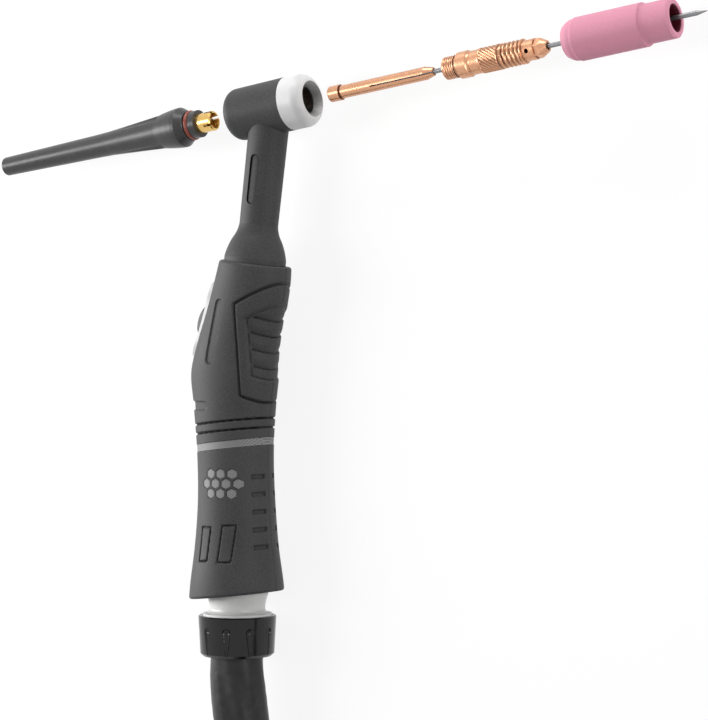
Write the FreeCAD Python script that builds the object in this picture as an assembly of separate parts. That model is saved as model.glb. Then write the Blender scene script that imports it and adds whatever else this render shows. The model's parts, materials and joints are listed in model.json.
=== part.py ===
# A gas-cooled TIG welding torch. It lies on its side on a bench, with its consumables pulled apart
# along the axis of the head and its hose package coiled behind it. Millimetres.
# X runs towards the nozzle, Y up the grip towards the head, Z up from the bench. The pieces are made
# round the centre of the head, and all move together to their place on the bench at the end.
import FreeCAD, Part

import math
import os

from FreeCAD import Matrix, Placement, Rotation, Vector

# Fits
slip = 0.3            # gap round a piece that slides or turns
seat = 0.05           # gap round a piece that stays put
face_gap = 0.3        # gap left between faces that meet when the torch is put together
bulge = 1 - math.sqrt(0.5)          # where the middle of a quarter round lies, as a share of its radius

# Directions: the head leans up towards the nozzle, and the neck leans with it
head_tilt = 7.4       # degrees from X to the head axis
neck_lean = 7.2       # degrees from the grip's line to the neck
head_axis = Vector(math.cos(math.radians(head_tilt)), math.sin(math.radians(head_tilt)), 0)
neck_axis = Vector(-math.sin(math.radians(neck_lean)), -math.cos(math.radians(neck_lean)), 0)

# Head, measured along the head axis from its centre
head_back = -19.5
head_front = 10.5
head_back_radius = 11.3
head_front_radius = 11.6
head_edge_round = 4.4
shield_length = 11.0
shield_round = 4.6
shield_mouth_radius = 7.7
shield_throat = 3.4
core_back = -13.7
core_radius = 8.2
core_boss_radius = 7.3
core_boss_length = 0.6
core_bore_radius = 5.0

# Neck, measured down the neck axis from the head's centre
neck_top_radius = 8.75
neck_low_radius = 8.4
neck_flare_start = 50.5
neck_flare_rise = [(3.4, 0.75), (6.15, 2.1), (10.35, 3.9), (14.7, 5.0)]   # beyond start, beyond low radius
neck_flare_end = 67.2
spigot_length = 6.0
spigot_gap = 1.8
neck_tube_radius = 4.5
neck_tube_wall = 1.0
neck_tube_end = 66.0
neck_slot_from = 20.5
neck_slot_to = 42.0
neck_slot_width = 4.4
adapter_flats = 14.0
adapter_nut_length = 11.0
adapter_length = 16.0
adapter_room = 1.4                  # round the adapter, in the neck's spigot
crimp_radius = 5.4
crimp_length = 4.0

# Back cap, measured from the shoulder that meets the head, forwards
cap_length = 105.2
cap_tail_round = 1.0
cap_profile = [                     # distance behind the shoulder, and radius
    (52.0, 5.12),
    (44.0, 5.35),
    (28.0, 6.42),
    (17.0, 7.23),
    (15.0, 7.38),
    (11.5, 8.0),
    (8.0, 8.5),
    (5.0, 8.8),
    (3.2, 8.8),
    (0.0, 6.7),
]
cap_tail_radius = 4.25
cap_spigot_radius = 6.05
cap_spigot_length = 5.8
cap_flutes = 3
cap_flute_turn = -50.0
cap_flute_radius = 3.2
cap_flute_depth = 1.15
cap_flute_front = 15.8
cap_flute_rear = 38.0
cap_bore_radius = 1.7
cap_end_wall = 3.5
ring_section = 0.95
ring_at = 1.6
ring_outer_radius = 6.65
ring_room = 0.25
insert_radius = 4.35
insert_length = 7.6
insert_shank_radius = 4.0
insert_shank_length = 9.0
insert_mouth_radius = 3.4
insert_mouth_depth = 3.6
insert_slot = 1.2

# Collet, from its rear end
collet_length = 51.0
collet_radius = 2.8
collet_head_radius = 3.4
collet_head_length = 6.2
collet_tip_radius = 1.75
collet_cone_length = 4.1
collet_slit = 0.6
collet_slit_length = 30.0

# Collet body, from its rear end
body_length = 47.5
body_thread_radius = 4.75
body_thread_length = 5.5
body_collar_from = 6.7
body_collar_length = 5.2
body_collar_radius = 5.55
body_neck_radius = 5.0
knurl_from = 17.2
knurl_length = 9.2
knurl_radius = 5.3
nozzle_thread_from = 27.2
nozzle_thread_length = 9.9
nozzle_thread_radius = 5.2
barrel_radius = 4.35
barrel_end = 44.0
body_tip_radius = 2.4
body_bore_radius = 3.1
body_tip_bore = 1.6
body_flats = 7.3
gas_ports = 4
gas_port_radius = 1.0
gas_port_at = 39.4

# Gas nozzle, from its rear end
nozzle_length = 47.6
nozzle_radius = 8.85
nozzle_front_radius = 8.0
nozzle_step_at = 34.4
nozzle_step_length = 1.8
nozzle_tail_radius = 6.7
nozzle_tail_length = 5.3
nozzle_orifice_radius = 5.55
nozzle_thread_at = 10.2
nozzle_rear_bore = 5.8

# Electrode
electrode_radius = 1.0
electrode_length = 170.0
electrode_cone = 4.5
electrode_point_radius = 0.12
electrode_stickout = 5.0

# How far the consumables are pulled out of the head
cap_pull = 23.6
collet_pull = 37.0
body_pull = 83.0
nozzle_pull = 122.1
electrode_pull = 130.6

# Grip: height below the head's centre, centre in X, half width in X, half thickness in Z
grip_sections = [
    (-60.0, -7.3, 15.0, 15.0),
    (-74.0, -9.5, 16.9, 15.6),
    (-88.0, -12.9, 18.0, 16.1),
    (-102.0, -16.6, 19.4, 16.3),
    (-113.0, -18.6, 20.4, 16.4),
    (-128.0, -18.9, 18.6, 16.4),
    (-148.0, -18.6, 16.9, 16.2),
    (-170.0, -18.0, 17.0, 16.5),
    (-190.0, -17.9, 18.5, 17.9),
    (-206.0, -17.8, 20.5, 20.0),
    (-216.0, -17.8, 21.4, 20.6),
]
grip_wall = 2.6
grip_rim_at = -210.3
grip_rim_slant = 6.2
grip_groove_depth = 0.6
grip_edge_round = 1.2
cavity_end = -186.5
boss_radius = 2.9
screw_radius = 1.45
screw_head_radius = 2.4
screw_head_height = 2.2
screw_seat_depth = 7.5
screw_length = 15.5
screw_places = [(-7.2, -130.0), (-7.6, -168.0), (-31.0, -121.0), (-29.2, -172.0)]

# Marks moulded in the grip: grooves and the textured grey band, by height at the grip's centre line
ring_groove_width = 0.9
ring_groove_heights = [-135.2, -139.2]
ring_slant = 5.9
band_height = -145.3
band_width = 3.1
band_slant = 6.5
inlay_depth = 1.0
inlay_sink = 0.15
inlay_centre = (-15.5, -161.5)
inlay_cell = 2.1
inlay_pitch = 4.9
name_slot = [(-16.2, -82.2), (-21.6, -110.4)]
name_slot_width = 4.9
panel_outer = [(30.0, -63.1), (-8.6, -84.6), (-7.3, -123.9), (-0.9, -126.8), (30.0, -126.8)]
panel_inner = [(30.0, -69.0), (-4.8, -90.2), (-4.2, -116.2), (0.9, -118.4), (30.0, -118.4)]
panel_line = 0.9
rib_count = 4
rib_first = -88.9
rib_pitch = 7.2
rib_slope = 0.38
rib_notch = 1.9
rib_left = -4.3
tab_heights = (-126.1, -130.3)
tab_end = -22.3
pads = [
    [(-25.3, -180.2), (-19.4, -179.9), (-20.8, -195.0), (-26.2, -195.4)],
    [(-14.3, -179.1), (-8.0, -179.0), (-9.4, -195.3), (-15.8, -195.4)],
]
dash_count = 5
dash_first = -157.6
dash_pitch = 7.6
dash_height = 2.0
dash_from = -5.2
dash_to = -2.4

# Trigger: a white frame let into the back of the grip, with a domed button that slides in
trigger_height = -91.0
trigger_slope = 20.5
frame_length = 36.0
frame_width = 19.0
frame_proud = 1.1
frame_depth = 5.0
button_length = 18.0
button_width = 12.0
button_dome = 3.4
button_travel = 1.5
button_tab = 1.1
button_tab_width = 5.0
button_tab_height = 1.2
switch_length = 12.8
switch_width = 5.8
switch_height = 5.8
switch_drop = 3.0                   # the switch's middle below the button's
plunger_height = 0.8
plunger_radius = 1.1
plunger_offset = 1.8
carrier_wall = 1.2
carrier_length = 28.0
carrier_foot = 5.0
carrier_lug = 2.0
lead_radius = 0.75
cable_radius = 4.2
cable_end = -191.6

# Ball joint between the grip and the hose package, measured down from the ball's centre
ball_centre = Vector(-17.6, -207.4, 0)
ball_radius = 15.5
ball_top = 12.0
seat_thickness = 1.4
seat_low = 5.0                      # clear of the grip's lip at the end of its nod
seat_high = 10.0
lip_radius = 14.4
lip_height = 0.6
passage_radius = 11.6
knuckle_bore = 8.0
knuckle_shoulder = 4.6              # above the centre, where the ball gives way to the trumpet
knuckle_trumpet = [(-4.3, 13.4), (-2.0, 13.7), (2.6, 13.4)]
knuckle_waist_at = 8.6
knuckle_waist_radius = 12.1
knuckle_flange_at = 10.6
knuckle_flange_radius = 15.1
knuckle_flange_height = 2.8
knuckle_barrel_radius = 14.5
knuckle_length = 26.0
nut_top_at = 11.6
nut_top_radius = 16.95
nut_low_radius = 16.0
nut_length = 17.6
nut_flutes = 10
flute_top_radius = 2.3
flute_low_radius = 0.35
flute_sink = 1.15
flute_from = 6.6

# Hose package: real length 4 m, run out of the nut, wound in one coil, ending in its connector
hose_diameter = 24.5
coil_radius = 133.3                 # middle of the turns
coil_turn_pitch = 25.2
coil_layer_pitch = 25.2
coil_centre_y = -421.0
coil_start_radius = coil_radius + coil_turn_pitch
hose_start_x = -2.0                 # where the hose runs into its coil
tail_x = hose_start_x + 2 * coil_start_radius
connector_radius = 21.5

# Connector on the hose's end, measured from the hose's end outwards
boot_length = 34.0
boot_small_radius = 14.4
boot_large_radius = 19.0
boot_grooves = 5
shell_length = 48.0
shell_ribs = 12
shell_end_wall = 6.0
union_length = 27.0
union_radius = 20.6
union_flutes = 12
insert_plug_radius = 16.8
insert_plug_end = 64.0
plug_collar_radius = 18.4
plug_collar_height = 2.0
plug_collar_gap = 4.0                # from the shell's front to the collar
pin_radius = 5.0
pin_length = 14.0
pin_bore = 2.4
pin_shank_radius = 4.0              # inside the insert
pin_shank_length = 10.0
contact_count = 4
contact_radius = 1.3
contact_depth = 6.0                 # of the contacts, which end a little below the insert's face
contact_sink = 0.5
contact_bore = 0.6
contact_circle = 11.0

X_AXIS = Vector(1, 0, 0)
Z_AXIS = Vector(0, 0, 1)
DOWN = Vector(0, -1, 0)
UP = Vector(0, 1, 0)
FAR = 60.0                          # longer than any half thickness, for cutting blocks

# Heights in the trigger, outwards from the grip's back
button_foot = -frame_depth - 0.2 - button_tab_height
switch_top = button_foot - button_travel - 0.2 - plunger_height

shapes = {}
cord_names = []


def outline(start, *steps):
    """Closed face in X and Y. A step is a point, or a pair: a point on an arc and the arc's end."""
    edges = []
    first = Vector(start[0], start[1], 0)
    here = first
    for step in steps:
        if isinstance(step[0], tuple):
            middle = Vector(step[0][0], step[0][1], 0)
            end = Vector(step[1][0], step[1][1], 0)
            edges.append(Part.Arc(here, middle, end).toShape())
        else:
            end = Vector(step[0], step[1], 0)
            edges.append(Part.makeLine(here, end))
        here = end
    if here.sub(first).Length > 1e-6:
        edges.append(Part.makeLine(here, first))
    return Part.Face(Part.Wire(edges))


def turned(*profile):
    """Solid turned about X. A profile point is a place along X and a radius."""
    return outline(*profile).revolve(Vector(0, 0, 0), X_AXIS, 360)


def rod(start, end, radius):
    """Cylinder about X."""
    return Part.makeCylinder(radius, end - start, Vector(start, 0, 0), X_AXIS)


def along(shape, start, direction):
    """The shape with its X axis laid along a direction, from a start point."""
    placed = shape.copy()
    placed.Placement = Placement(start, Rotation(X_AXIS, direction)).multiply(shape.Placement)
    return placed


def spaced(shape, count, first=0.0):
    """Copies of a shape, evenly spaced about the X axis."""
    copies = []
    for index in range(count):
        copy = shape.copy()
        copy.rotate(Vector(0, 0, 0), X_AXIS, first + 360.0 * index / count)
        copies.append(copy)
    return copies


def prism(points, low=-FAR, high=FAR):
    """Block along Z over an outline in X and Y."""
    face = outline(*points)
    face.translate(Vector(0, 0, low))
    return face.extrude(Vector(0, 0, high - low))


def stadium(start, end, width):
    """Outline of a slot with round ends, between two end points in X and Y."""
    first = Vector(start[0], start[1], 0)
    last = Vector(end[0], end[1], 0)
    run = last.sub(first).normalize()
    reach = run * (width / 2)
    side = Vector(-run.y, run.x, 0) * (width / 2)
    first = first + reach
    last = last - reach
    corners = [first + side, first - reach, first - side, last - side, last + reach, last + side]
    flat = [(corner.x, corner.y) for corner in corners]
    return [flat[0], (flat[1], flat[2]), flat[3], (flat[4], flat[5])]


def strip(height, width, slant, centre_x):
    """Flat slab right through the grip, tilted about Z."""
    slab = Part.makeBox(4 * FAR, width, 2 * FAR, Vector(-2 * FAR, -width / 2, -FAR))
    slab.rotate(Vector(0, 0, 0), Vector(0, 0, 1), slant)
    slab.translate(Vector(centre_x, height, 0))
    return slab


def line_groove(points, width):
    """Groove that follows a closed outline in X and Y."""
    wire = outline(*points).OuterWire
    outside = Part.Face(wire.makeOffset2D(width / 2))
    inside = Part.Face(wire.makeOffset2D(-width / 2))
    ring = outside.cut(inside)
    ring.translate(Vector(0, 0, -FAR))
    return ring.extrude(Vector(0, 0, 2 * FAR))


def grip_body(grow):
    """The grip's outer form, grown outwards by an amount."""
    wires = []
    for height, centre, half_width, half_thickness in grip_sections:
        circle = Part.Circle(Vector(0, 0, 0), UP, 1.0).toShape()
        scale = Matrix()
        scale.scale(half_width + grow, 1.0, half_thickness + grow)
        ring = circle.transformGeometry(scale)
        ring.translate(Vector(centre, height, 0))
        wires.append(Part.Wire(ring))
    return Part.makeLoft(wires, True, False)


def grip_at(height):
    """The grip's centre in X, half width and half thickness at a height, between its sections."""
    for upper, lower in zip(grip_sections, grip_sections[1:]):
        if lower[0] <= height <= upper[0]:
            share = (height - lower[0]) / (upper[0] - lower[0])
            return [low + share * (high - low) for low, high in zip(lower[1:], upper[1:])]
    return list(grip_sections[-1][1:])


def route_edges(points, name):
    """Straight runs joined by tangent arcs, as one path. Prints the radii."""
    edges = []
    radii = []
    here = points[0]
    for index in range(1, len(points) - 1):
        corner = points[index]
        back = points[index - 1].sub(corner)
        ahead = points[index + 1].sub(corner)
        shorter = min(back.Length, ahead.Length)
        back.normalize()
        ahead.normalize()
        turn = math.pi - back.getAngle(ahead)
        tangent = 0.45 * shorter
        radii.append(tangent / math.tan(turn / 2))
        start = corner + back * tangent
        end = corner + ahead * tangent
        inward = (back + ahead).normalize()
        centre_reach = radii[-1] / math.cos(turn / 2)
        middle = corner + inward * (centre_reach - radii[-1])
        edges.append(Part.makeLine(here, start))
        edges.append(Part.Arc(start, middle, end).toShape())
        here = end
    edges.append(Part.makeLine(here, points[-1]))
    print(name, "radii", [round(radius, 1) for radius in radii])
    return edges


def tube(edges, radius, name):
    """Round tube along a path. Prints how its volume compares with section times length."""
    path = Part.Wire(edges)
    start = edges[0].valueAt(edges[0].FirstParameter)
    heading = edges[0].tangentAt(edges[0].FirstParameter)
    ring = Part.Wire(Part.Circle(start, heading, radius).toShape())
    solid = path.makePipeShell([ring], True, False)
    expected = math.pi * radius * radius * path.Length
    print(name, "length", round(path.Length, 1), "volume share", round(solid.Volume / expected, 4))
    return solid


def biarc(start, start_heading, end, end_heading):
    """Two arcs in space that join two points with given headings."""
    chord = end.sub(start)
    both = start_heading + end_heading
    square = both.dot(both) - 4
    middle = chord.dot(both)
    if abs(square) < 1e-9:
        reach = chord.dot(chord) / (2 * middle)
    else:
        root = math.sqrt(middle * middle - square * chord.dot(chord))
        reach = (middle - root) / square
    first_corner = start + start_heading * reach
    last_corner = end - end_heading * reach
    joint = (first_corner + last_corner) * 0.5
    arcs = []
    for begin, corner, finish in ((start, first_corner, joint), (joint, last_corner, end)):
        back = begin.sub(corner)
        ahead = finish.sub(corner)
        half = back.getAngle(ahead) / 2
        radius = back.Length * math.tan(half)
        inward = (back + ahead).normalize()
        bulge = corner + inward * (back.Length / math.cos(half) - radius)
        arcs.append(Part.Arc(begin, bulge, finish).toShape())
    return arcs


def keep(name, shape, cord=False):
    """Note a finished piece under its name."""
    shapes[name] = shape
    if cord:
        cord_names.append(name)


def make_head():
    """The rubber moulding of head and neck, its core, tube and the heat shield in front."""
    shell = turned(
        (head_back, 0),
        (head_back, head_back_radius - head_edge_round),
        ((head_back + head_edge_round * bulge, head_back_radius - head_edge_round * bulge),
         (head_back + head_edge_round, head_back_radius)),
        (head_front, head_front_radius),
        (head_front, 0),
    )
    shell = along(shell, Vector(0, 0, 0), head_axis)
    flare = [(neck_flare_start + down, neck_low_radius + out) for down, out in neck_flare_rise]
    spigot_radius = grip_at(-neck_flare_end)[2] - grip_wall - spigot_gap
    neck = turned(
        (0, 0),
        (0, neck_top_radius),
        (neck_flare_start, neck_low_radius),
        (flare[0], flare[1]),
        (flare[2], flare[3]),
        (neck_flare_end, flare[3][1]),
        (neck_flare_end, spigot_radius),
        (neck_flare_end + spigot_length, spigot_radius),
        (neck_flare_end + spigot_length, 0),
    )
    slot = prism(stadium((neck_slot_from, 0), (neck_slot_to, 0), neck_slot_width))
    slot = slot.cut(rod(0, neck_flare_start, neck_low_radius - grip_groove_depth))
    neck = along(neck.cut(slot), Vector(0, 0, 0), neck_axis)
    moulding = shell.fuse(neck).removeSplitter()
    rear_bore = along(rod(head_back - 1, core_back, ring_outer_radius + slip), Vector(0, 0, 0), head_axis)
    core_bore = along(rod(core_back, head_front + 1, core_radius + seat), Vector(0, 0, 0), head_axis)
    tube_bore = along(rod(0, neck_tube_end + 1, neck_tube_radius + seat), Vector(0, 0, 0), neck_axis)
    pocket = rod(neck_tube_end - 3, neck_flare_end + spigot_length + 1, adapter_flats / 2 + adapter_room)
    pocket = along(pocket, Vector(0, 0, 0), neck_axis)
    moulding = moulding.cut([rear_bore, core_bore, tube_bore, pocket])
    keep("head_insulation", moulding)

    core_front = head_front + core_boss_length
    core = turned(
        (core_back, core_bore_radius),
        (core_back, core_radius),
        (head_front, core_radius),
        (head_front, core_boss_radius),
        (core_front, core_boss_radius),
        (core_front, core_bore_radius),
    )
    core = along(core, Vector(0, 0, 0), head_axis)
    gas_way = along(rod(core_bore_radius - 1, core_radius + 1, neck_tube_radius - neck_tube_wall),
                    Vector(0, 0, 0), neck_axis)
    keep("head_core", core.cut(gas_way))

    pipe = rod(0, neck_tube_end, neck_tube_radius).cut(
        rod(-1, neck_tube_end + 1, neck_tube_radius - neck_tube_wall))
    pipe = along(pipe, Vector(0, 0, 0), neck_axis)
    pipe = pipe.cut(along(rod(head_back, head_front, core_radius + seat), Vector(0, 0, 0), head_axis))
    keep("neck_tube", pipe)

    shield_front = head_front + shield_length
    collar_room = body_collar_radius + slip
    corner = shield_round * bulge
    shield = turned(
        (head_front + seat, core_boss_radius + seat),
        (head_front + seat, head_front_radius),
        (shield_front - shield_round, head_front_radius - 0.1),
        ((shield_front - corner, head_front_radius - 0.1 - corner),
         (shield_front, head_front_radius - 0.1 - shield_round + 0.9)),
        (shield_front - 0.25, shield_mouth_radius),
        (shield_front - shield_throat, collar_room),
        (core_front + seat, collar_room),
        (core_front + seat, core_boss_radius + seat),
    )
    keep("heat_shield_ring", along(shield, Vector(0, 0, 0), head_axis))


def profile_radius(back):
    """The back cap's radius at a distance behind its shoulder."""
    for rear, front in zip(cap_profile, cap_profile[1:]):
        if front[0] <= back <= rear[0]:
            share = (back - front[0]) / (rear[0] - front[0])
            return front[1] + share * (rear[1] - front[1])
    return cap_tail_radius


def make_back_cap():
    """The long back cap with its O-ring and slotted brass insert."""
    groove_low = ring_at - ring_section - ring_room
    groove_high = ring_at + ring_section + ring_room
    groove_floor = ring_outer_radius - 2 * ring_section - seat
    outside = [(-back, radius) for back, radius in cap_profile]
    cap = turned(
        (-cap_length, 0),
        (-cap_length, cap_tail_radius - cap_tail_round),
        ((-cap_length + bulge * cap_tail_round, cap_tail_radius - bulge * cap_tail_round),
         (-cap_length + cap_tail_round, cap_tail_radius)),
        *outside,
        (groove_low, outside[-1][1]),
        (groove_low, groove_floor),
        (groove_high, groove_floor),
        (groove_high, cap_spigot_radius),
        (cap_spigot_length, cap_spigot_radius),
        (cap_spigot_length, 0),
    )
    # Each flute is a round-nosed scoop that runs out towards the tail
    front_radius = profile_radius(cap_flute_front) + cap_flute_radius - cap_flute_depth
    rear_radius = profile_radius(cap_flute_rear) + cap_flute_radius
    nose = Vector(-cap_flute_front, 0, front_radius)
    scoop = Part.makeCylinder(cap_flute_radius, 2 * cap_flute_rear, nose,
                              Vector(cap_flute_front - cap_flute_rear, 0, rear_radius - front_radius))
    scoop = scoop.fuse(Part.makeSphere(cap_flute_radius, nose))
    cap = cap.cut(spaced(scoop, cap_flutes, cap_flute_turn))
    cap = cap.cut([
        rod(-cap_length + cap_end_wall, cap_spigot_length + 1, cap_bore_radius),
        rod(cap_spigot_length - insert_shank_length, cap_spigot_length + 1, insert_shank_radius + seat),
    ])
    ring = Part.makeTorus(ring_outer_radius - ring_section, ring_section, Vector(ring_at, 0, 0), X_AXIS)
    tip = cap_spigot_length + insert_length
    insert = turned(
        (cap_spigot_length - insert_shank_length + seat, cap_bore_radius),
        (cap_spigot_length - insert_shank_length + seat, insert_shank_radius),
        (cap_spigot_length + seat, insert_shank_radius),
        (cap_spigot_length + seat, insert_radius),
        (tip - 0.4, insert_radius),
        (tip, insert_radius - 0.4),
        (tip, insert_mouth_radius),
        (tip - insert_mouth_depth, insert_mouth_radius - 0.5),
        (tip - insert_mouth_depth, cap_bore_radius),
    )
    slot = Part.makeBox(insert_mouth_depth, insert_slot, FAR, Vector(tip - insert_mouth_depth, -insert_slot / 2, 0))
    insert = insert.cut(spaced(slot, 4, 30.0))
    place = head_axis * (head_back - face_gap - cap_pull)
    keep("back_cap", along(cap, place, head_axis))
    keep("cap_o_ring", along(ring, place, head_axis))
    keep("cap_insert", along(insert, place, head_axis))


def make_consumables():
    """Collet, collet body, nozzle and electrode, pulled out along the head axis."""
    core_front = head_front + core_boss_length
    body_seat = core_front + face_gap - body_collar_from
    insert_tip = head_back - face_gap + cap_spigot_length + insert_length
    collet_seat = insert_tip + face_gap
    nozzle_seat = head_front + shield_length + face_gap
    point_seat = nozzle_seat + nozzle_length + electrode_stickout

    bore = electrode_radius + slip
    collet = turned(
        (0, bore),
        (0, collet_head_radius - 0.3),
        (0.3, collet_head_radius),
        (collet_head_length - 0.9, collet_head_radius),
        (collet_head_length - 0.9, collet_radius - 0.2),
        (collet_head_length - 0.3, collet_radius - 0.2),
        (collet_head_length, collet_radius),
        (collet_length - collet_cone_length, collet_radius),
        (collet_length, collet_tip_radius),
        (collet_length, bore),
    )
    slit = Part.makeBox(collet_slit_length, collet_slit, FAR,
                        Vector(collet_length - collet_slit_length, -collet_slit / 2, 0))
    collet = collet.cut(spaced(slit, 4, 15.0))
    keep("collet", along(collet, head_axis * (collet_seat + collet_pull), head_axis))

    thread_end = nozzle_thread_from + nozzle_thread_length
    collar_end = body_collar_from + body_collar_length
    body = turned(
        (0, body_bore_radius),
        (0, body_thread_radius - 0.4),
        (0.4, body_thread_radius),
        (body_thread_length, body_thread_radius),
        (body_thread_length, body_thread_radius - 0.35),
        (body_collar_from, body_thread_radius - 0.35),
        (body_collar_from, body_collar_radius - 0.4),
        (body_collar_from + 0.4, body_collar_radius),
        (collar_end - 0.4, body_collar_radius),
        (collar_end, body_neck_radius),
        (knurl_from, body_neck_radius),
        (knurl_from + 0.3, knurl_radius),
        (knurl_from + knurl_length - 0.3, knurl_radius),
        (knurl_from + knurl_length, body_thread_radius),
        (nozzle_thread_from, body_thread_radius),
        (nozzle_thread_from + 0.4, nozzle_thread_radius),
        (thread_end - 0.4, nozzle_thread_radius),
        (thread_end, barrel_radius),
        (barrel_end, barrel_radius),
        (body_length - 0.5, body_tip_radius + 0.3),
        (body_length, body_tip_radius),
        (body_length, body_tip_bore),
        (body_length - 6.1, body_tip_bore),
        (body_length - 6.1, collet_tip_radius + slip),
        (body_length - 10.0, body_bore_radius),
    )
    hexagon = Part.Face(Part.makePolygon([
        Vector(0, body_flats / 2 / math.cos(math.pi / 6) * math.cos(math.radians(60 * index + 20)),
               body_flats / 2 / math.cos(math.pi / 6) * math.sin(math.radians(60 * index + 20)))
        for index in range(7)]))
    wrench = rod(barrel_end - 0.6, body_length + 1, 2 * barrel_radius)
    hexagon.translate(Vector(barrel_end - 1.6, 0, 0))
    wrench = wrench.cut(hexagon.extrude(Vector(body_length, 0, 0)))
    port = Part.makeCylinder(gas_port_radius, FAR, Vector(gas_port_at, 0, 0), Vector(0, 0, 1))
    body = body.cut([wrench] + spaced(port, gas_ports, -12.0))
    keep("collet_body", along(body, head_axis * (body_seat + body_pull), head_axis))

    thread_in = nozzle_thread_at + nozzle_thread_length + 0.6
    bore = nozzle_thread_radius + slip
    step_end = nozzle_step_at + nozzle_step_length
    nozzle = turned(
        (0, nozzle_rear_bore),
        (0, nozzle_tail_radius - 0.6),
        ((0.2, nozzle_tail_radius - 0.1), (0.9, nozzle_tail_radius + 0.3)),
        ((nozzle_tail_length * 0.5, nozzle_radius - 0.75), (nozzle_tail_length - 0.9, nozzle_radius - 0.4)),
        (nozzle_tail_length - 0.3, nozzle_radius - 0.25),
        (nozzle_tail_length + 0.3, nozzle_radius),
        (nozzle_step_at - 0.3, nozzle_radius),
        ((nozzle_step_at + 0.35, nozzle_radius - 0.15), (nozzle_step_at + 0.7, nozzle_radius - 0.5)),
        (step_end, nozzle_front_radius),
        (nozzle_length - 0.7, nozzle_front_radius),
        (nozzle_length, nozzle_front_radius - 0.7),
        (nozzle_length, nozzle_orifice_radius + 0.3),
        (nozzle_length - 0.4, nozzle_orifice_radius),
        (thread_in, nozzle_orifice_radius),
        (thread_in, bore),
        (nozzle_thread_at, bore),
        (nozzle_thread_at, nozzle_rear_bore),
    )
    keep("gas_nozzle", along(nozzle, head_axis * (nozzle_seat + nozzle_pull), head_axis))

    electrode = turned(
        (-electrode_length, 0),
        (-electrode_length, electrode_radius - 0.1),
        (-electrode_length + 0.1, electrode_radius),
        (-electrode_cone, electrode_radius),
        (0, electrode_point_radius),
        (0, 0),
    )
    keep("electrode", along(electrode, head_axis * (point_seat + electrode_pull), head_axis))


def trigger_place(shape):
    """Lay a trigger piece on the grip's back: local X along the grip, Y outwards, Z across."""
    placed = shape.copy()
    slope = math.radians(trigger_slope)
    outward = Vector(-math.cos(slope), math.sin(slope), 0)
    upward = Vector(math.sin(slope), math.cos(slope), 0)
    centre, half_width, half_thickness = grip_at(trigger_height)
    frame = Placement(Vector(centre - half_width, trigger_height, 0), Rotation(upward, outward, Z_AXIS, "XYZ"))
    placed.Placement = frame.multiply(shape.Placement)
    return placed


def trigger_slab(length, width, low, high):
    """Slot-shaped block that stands on the trigger's plane, between two depths."""
    face = outline(*stadium((-length / 2, 0), (length / 2, 0), width))
    block = face.extrude(Vector(0, 0, high - low))
    block.rotate(Vector(0, 0, 0), X_AXIS, -90)
    block.translate(Vector(0, low, 0))
    return block


def half_of(shape):
    """The part of a shape above the torch's middle plane."""
    return shape.common(Part.makeBox(6 * FAR, 8 * FAR, FAR, Vector(-3 * FAR, -6 * FAR, 0)))


def below_middle(shape):
    """Mirror image of a shape in the torch's middle plane."""
    return shape.mirror(Vector(0, 0, 0), Vector(0, 0, 1))


def whole(half):
    """A piece made of a half and its mirror image."""
    return half.fuse(below_middle(half))


def grip_marks():
    """Blocks over every groove and recess moulded in one side of the grip."""
    marks = [strip(height, ring_groove_width, ring_slant, grip_at(height)[0]) for height in ring_groove_heights]
    marks.append(prism(stadium(name_slot[0], name_slot[1], name_slot_width)))
    marks.append(line_groove(panel_outer, panel_line))
    marks.append(line_groove(panel_inner, panel_line))
    drop = rib_slope * (FAR - rib_left)
    for index in range(rib_count):
        high = rib_first - index * rib_pitch
        marks.append(prism([
            (rib_left, high),
            (FAR, high - drop),
            (FAR, high - drop - rib_notch),
            (rib_left, high - rib_notch),
        ]))
    tab_middle = (tab_heights[0] + tab_heights[1]) / 2
    marks.append(prism(stadium((-FAR, tab_middle), (tab_end, tab_middle), tab_heights[0] - tab_heights[1])))
    marks.extend(prism(pad) for pad in pads)
    for index in range(dash_count):
        high = dash_first - index * dash_pitch
        low = high - dash_height
        marks.append(prism([(dash_from, high), (dash_to, high), (dash_to, low), (dash_from, low)]))
    return marks


def inlay_cells(size):
    """Hexagonal blocks of the grey inlay, in rows of three, four and three."""
    cells = []
    for row, count in ((1, 3), (0, 4), (-1, 3)):
        for index in range(count):
            x = inlay_centre[0] + (index - (count - 1) / 2) * inlay_pitch
            y = inlay_centre[1] + row * inlay_pitch * math.sin(math.radians(60))
            angles = [math.radians(60 * corner + 30) for corner in range(6)]
            cells.append(prism([(x + size * math.cos(turn), y + size * math.sin(turn)) for turn in angles]))
    return cells


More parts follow.
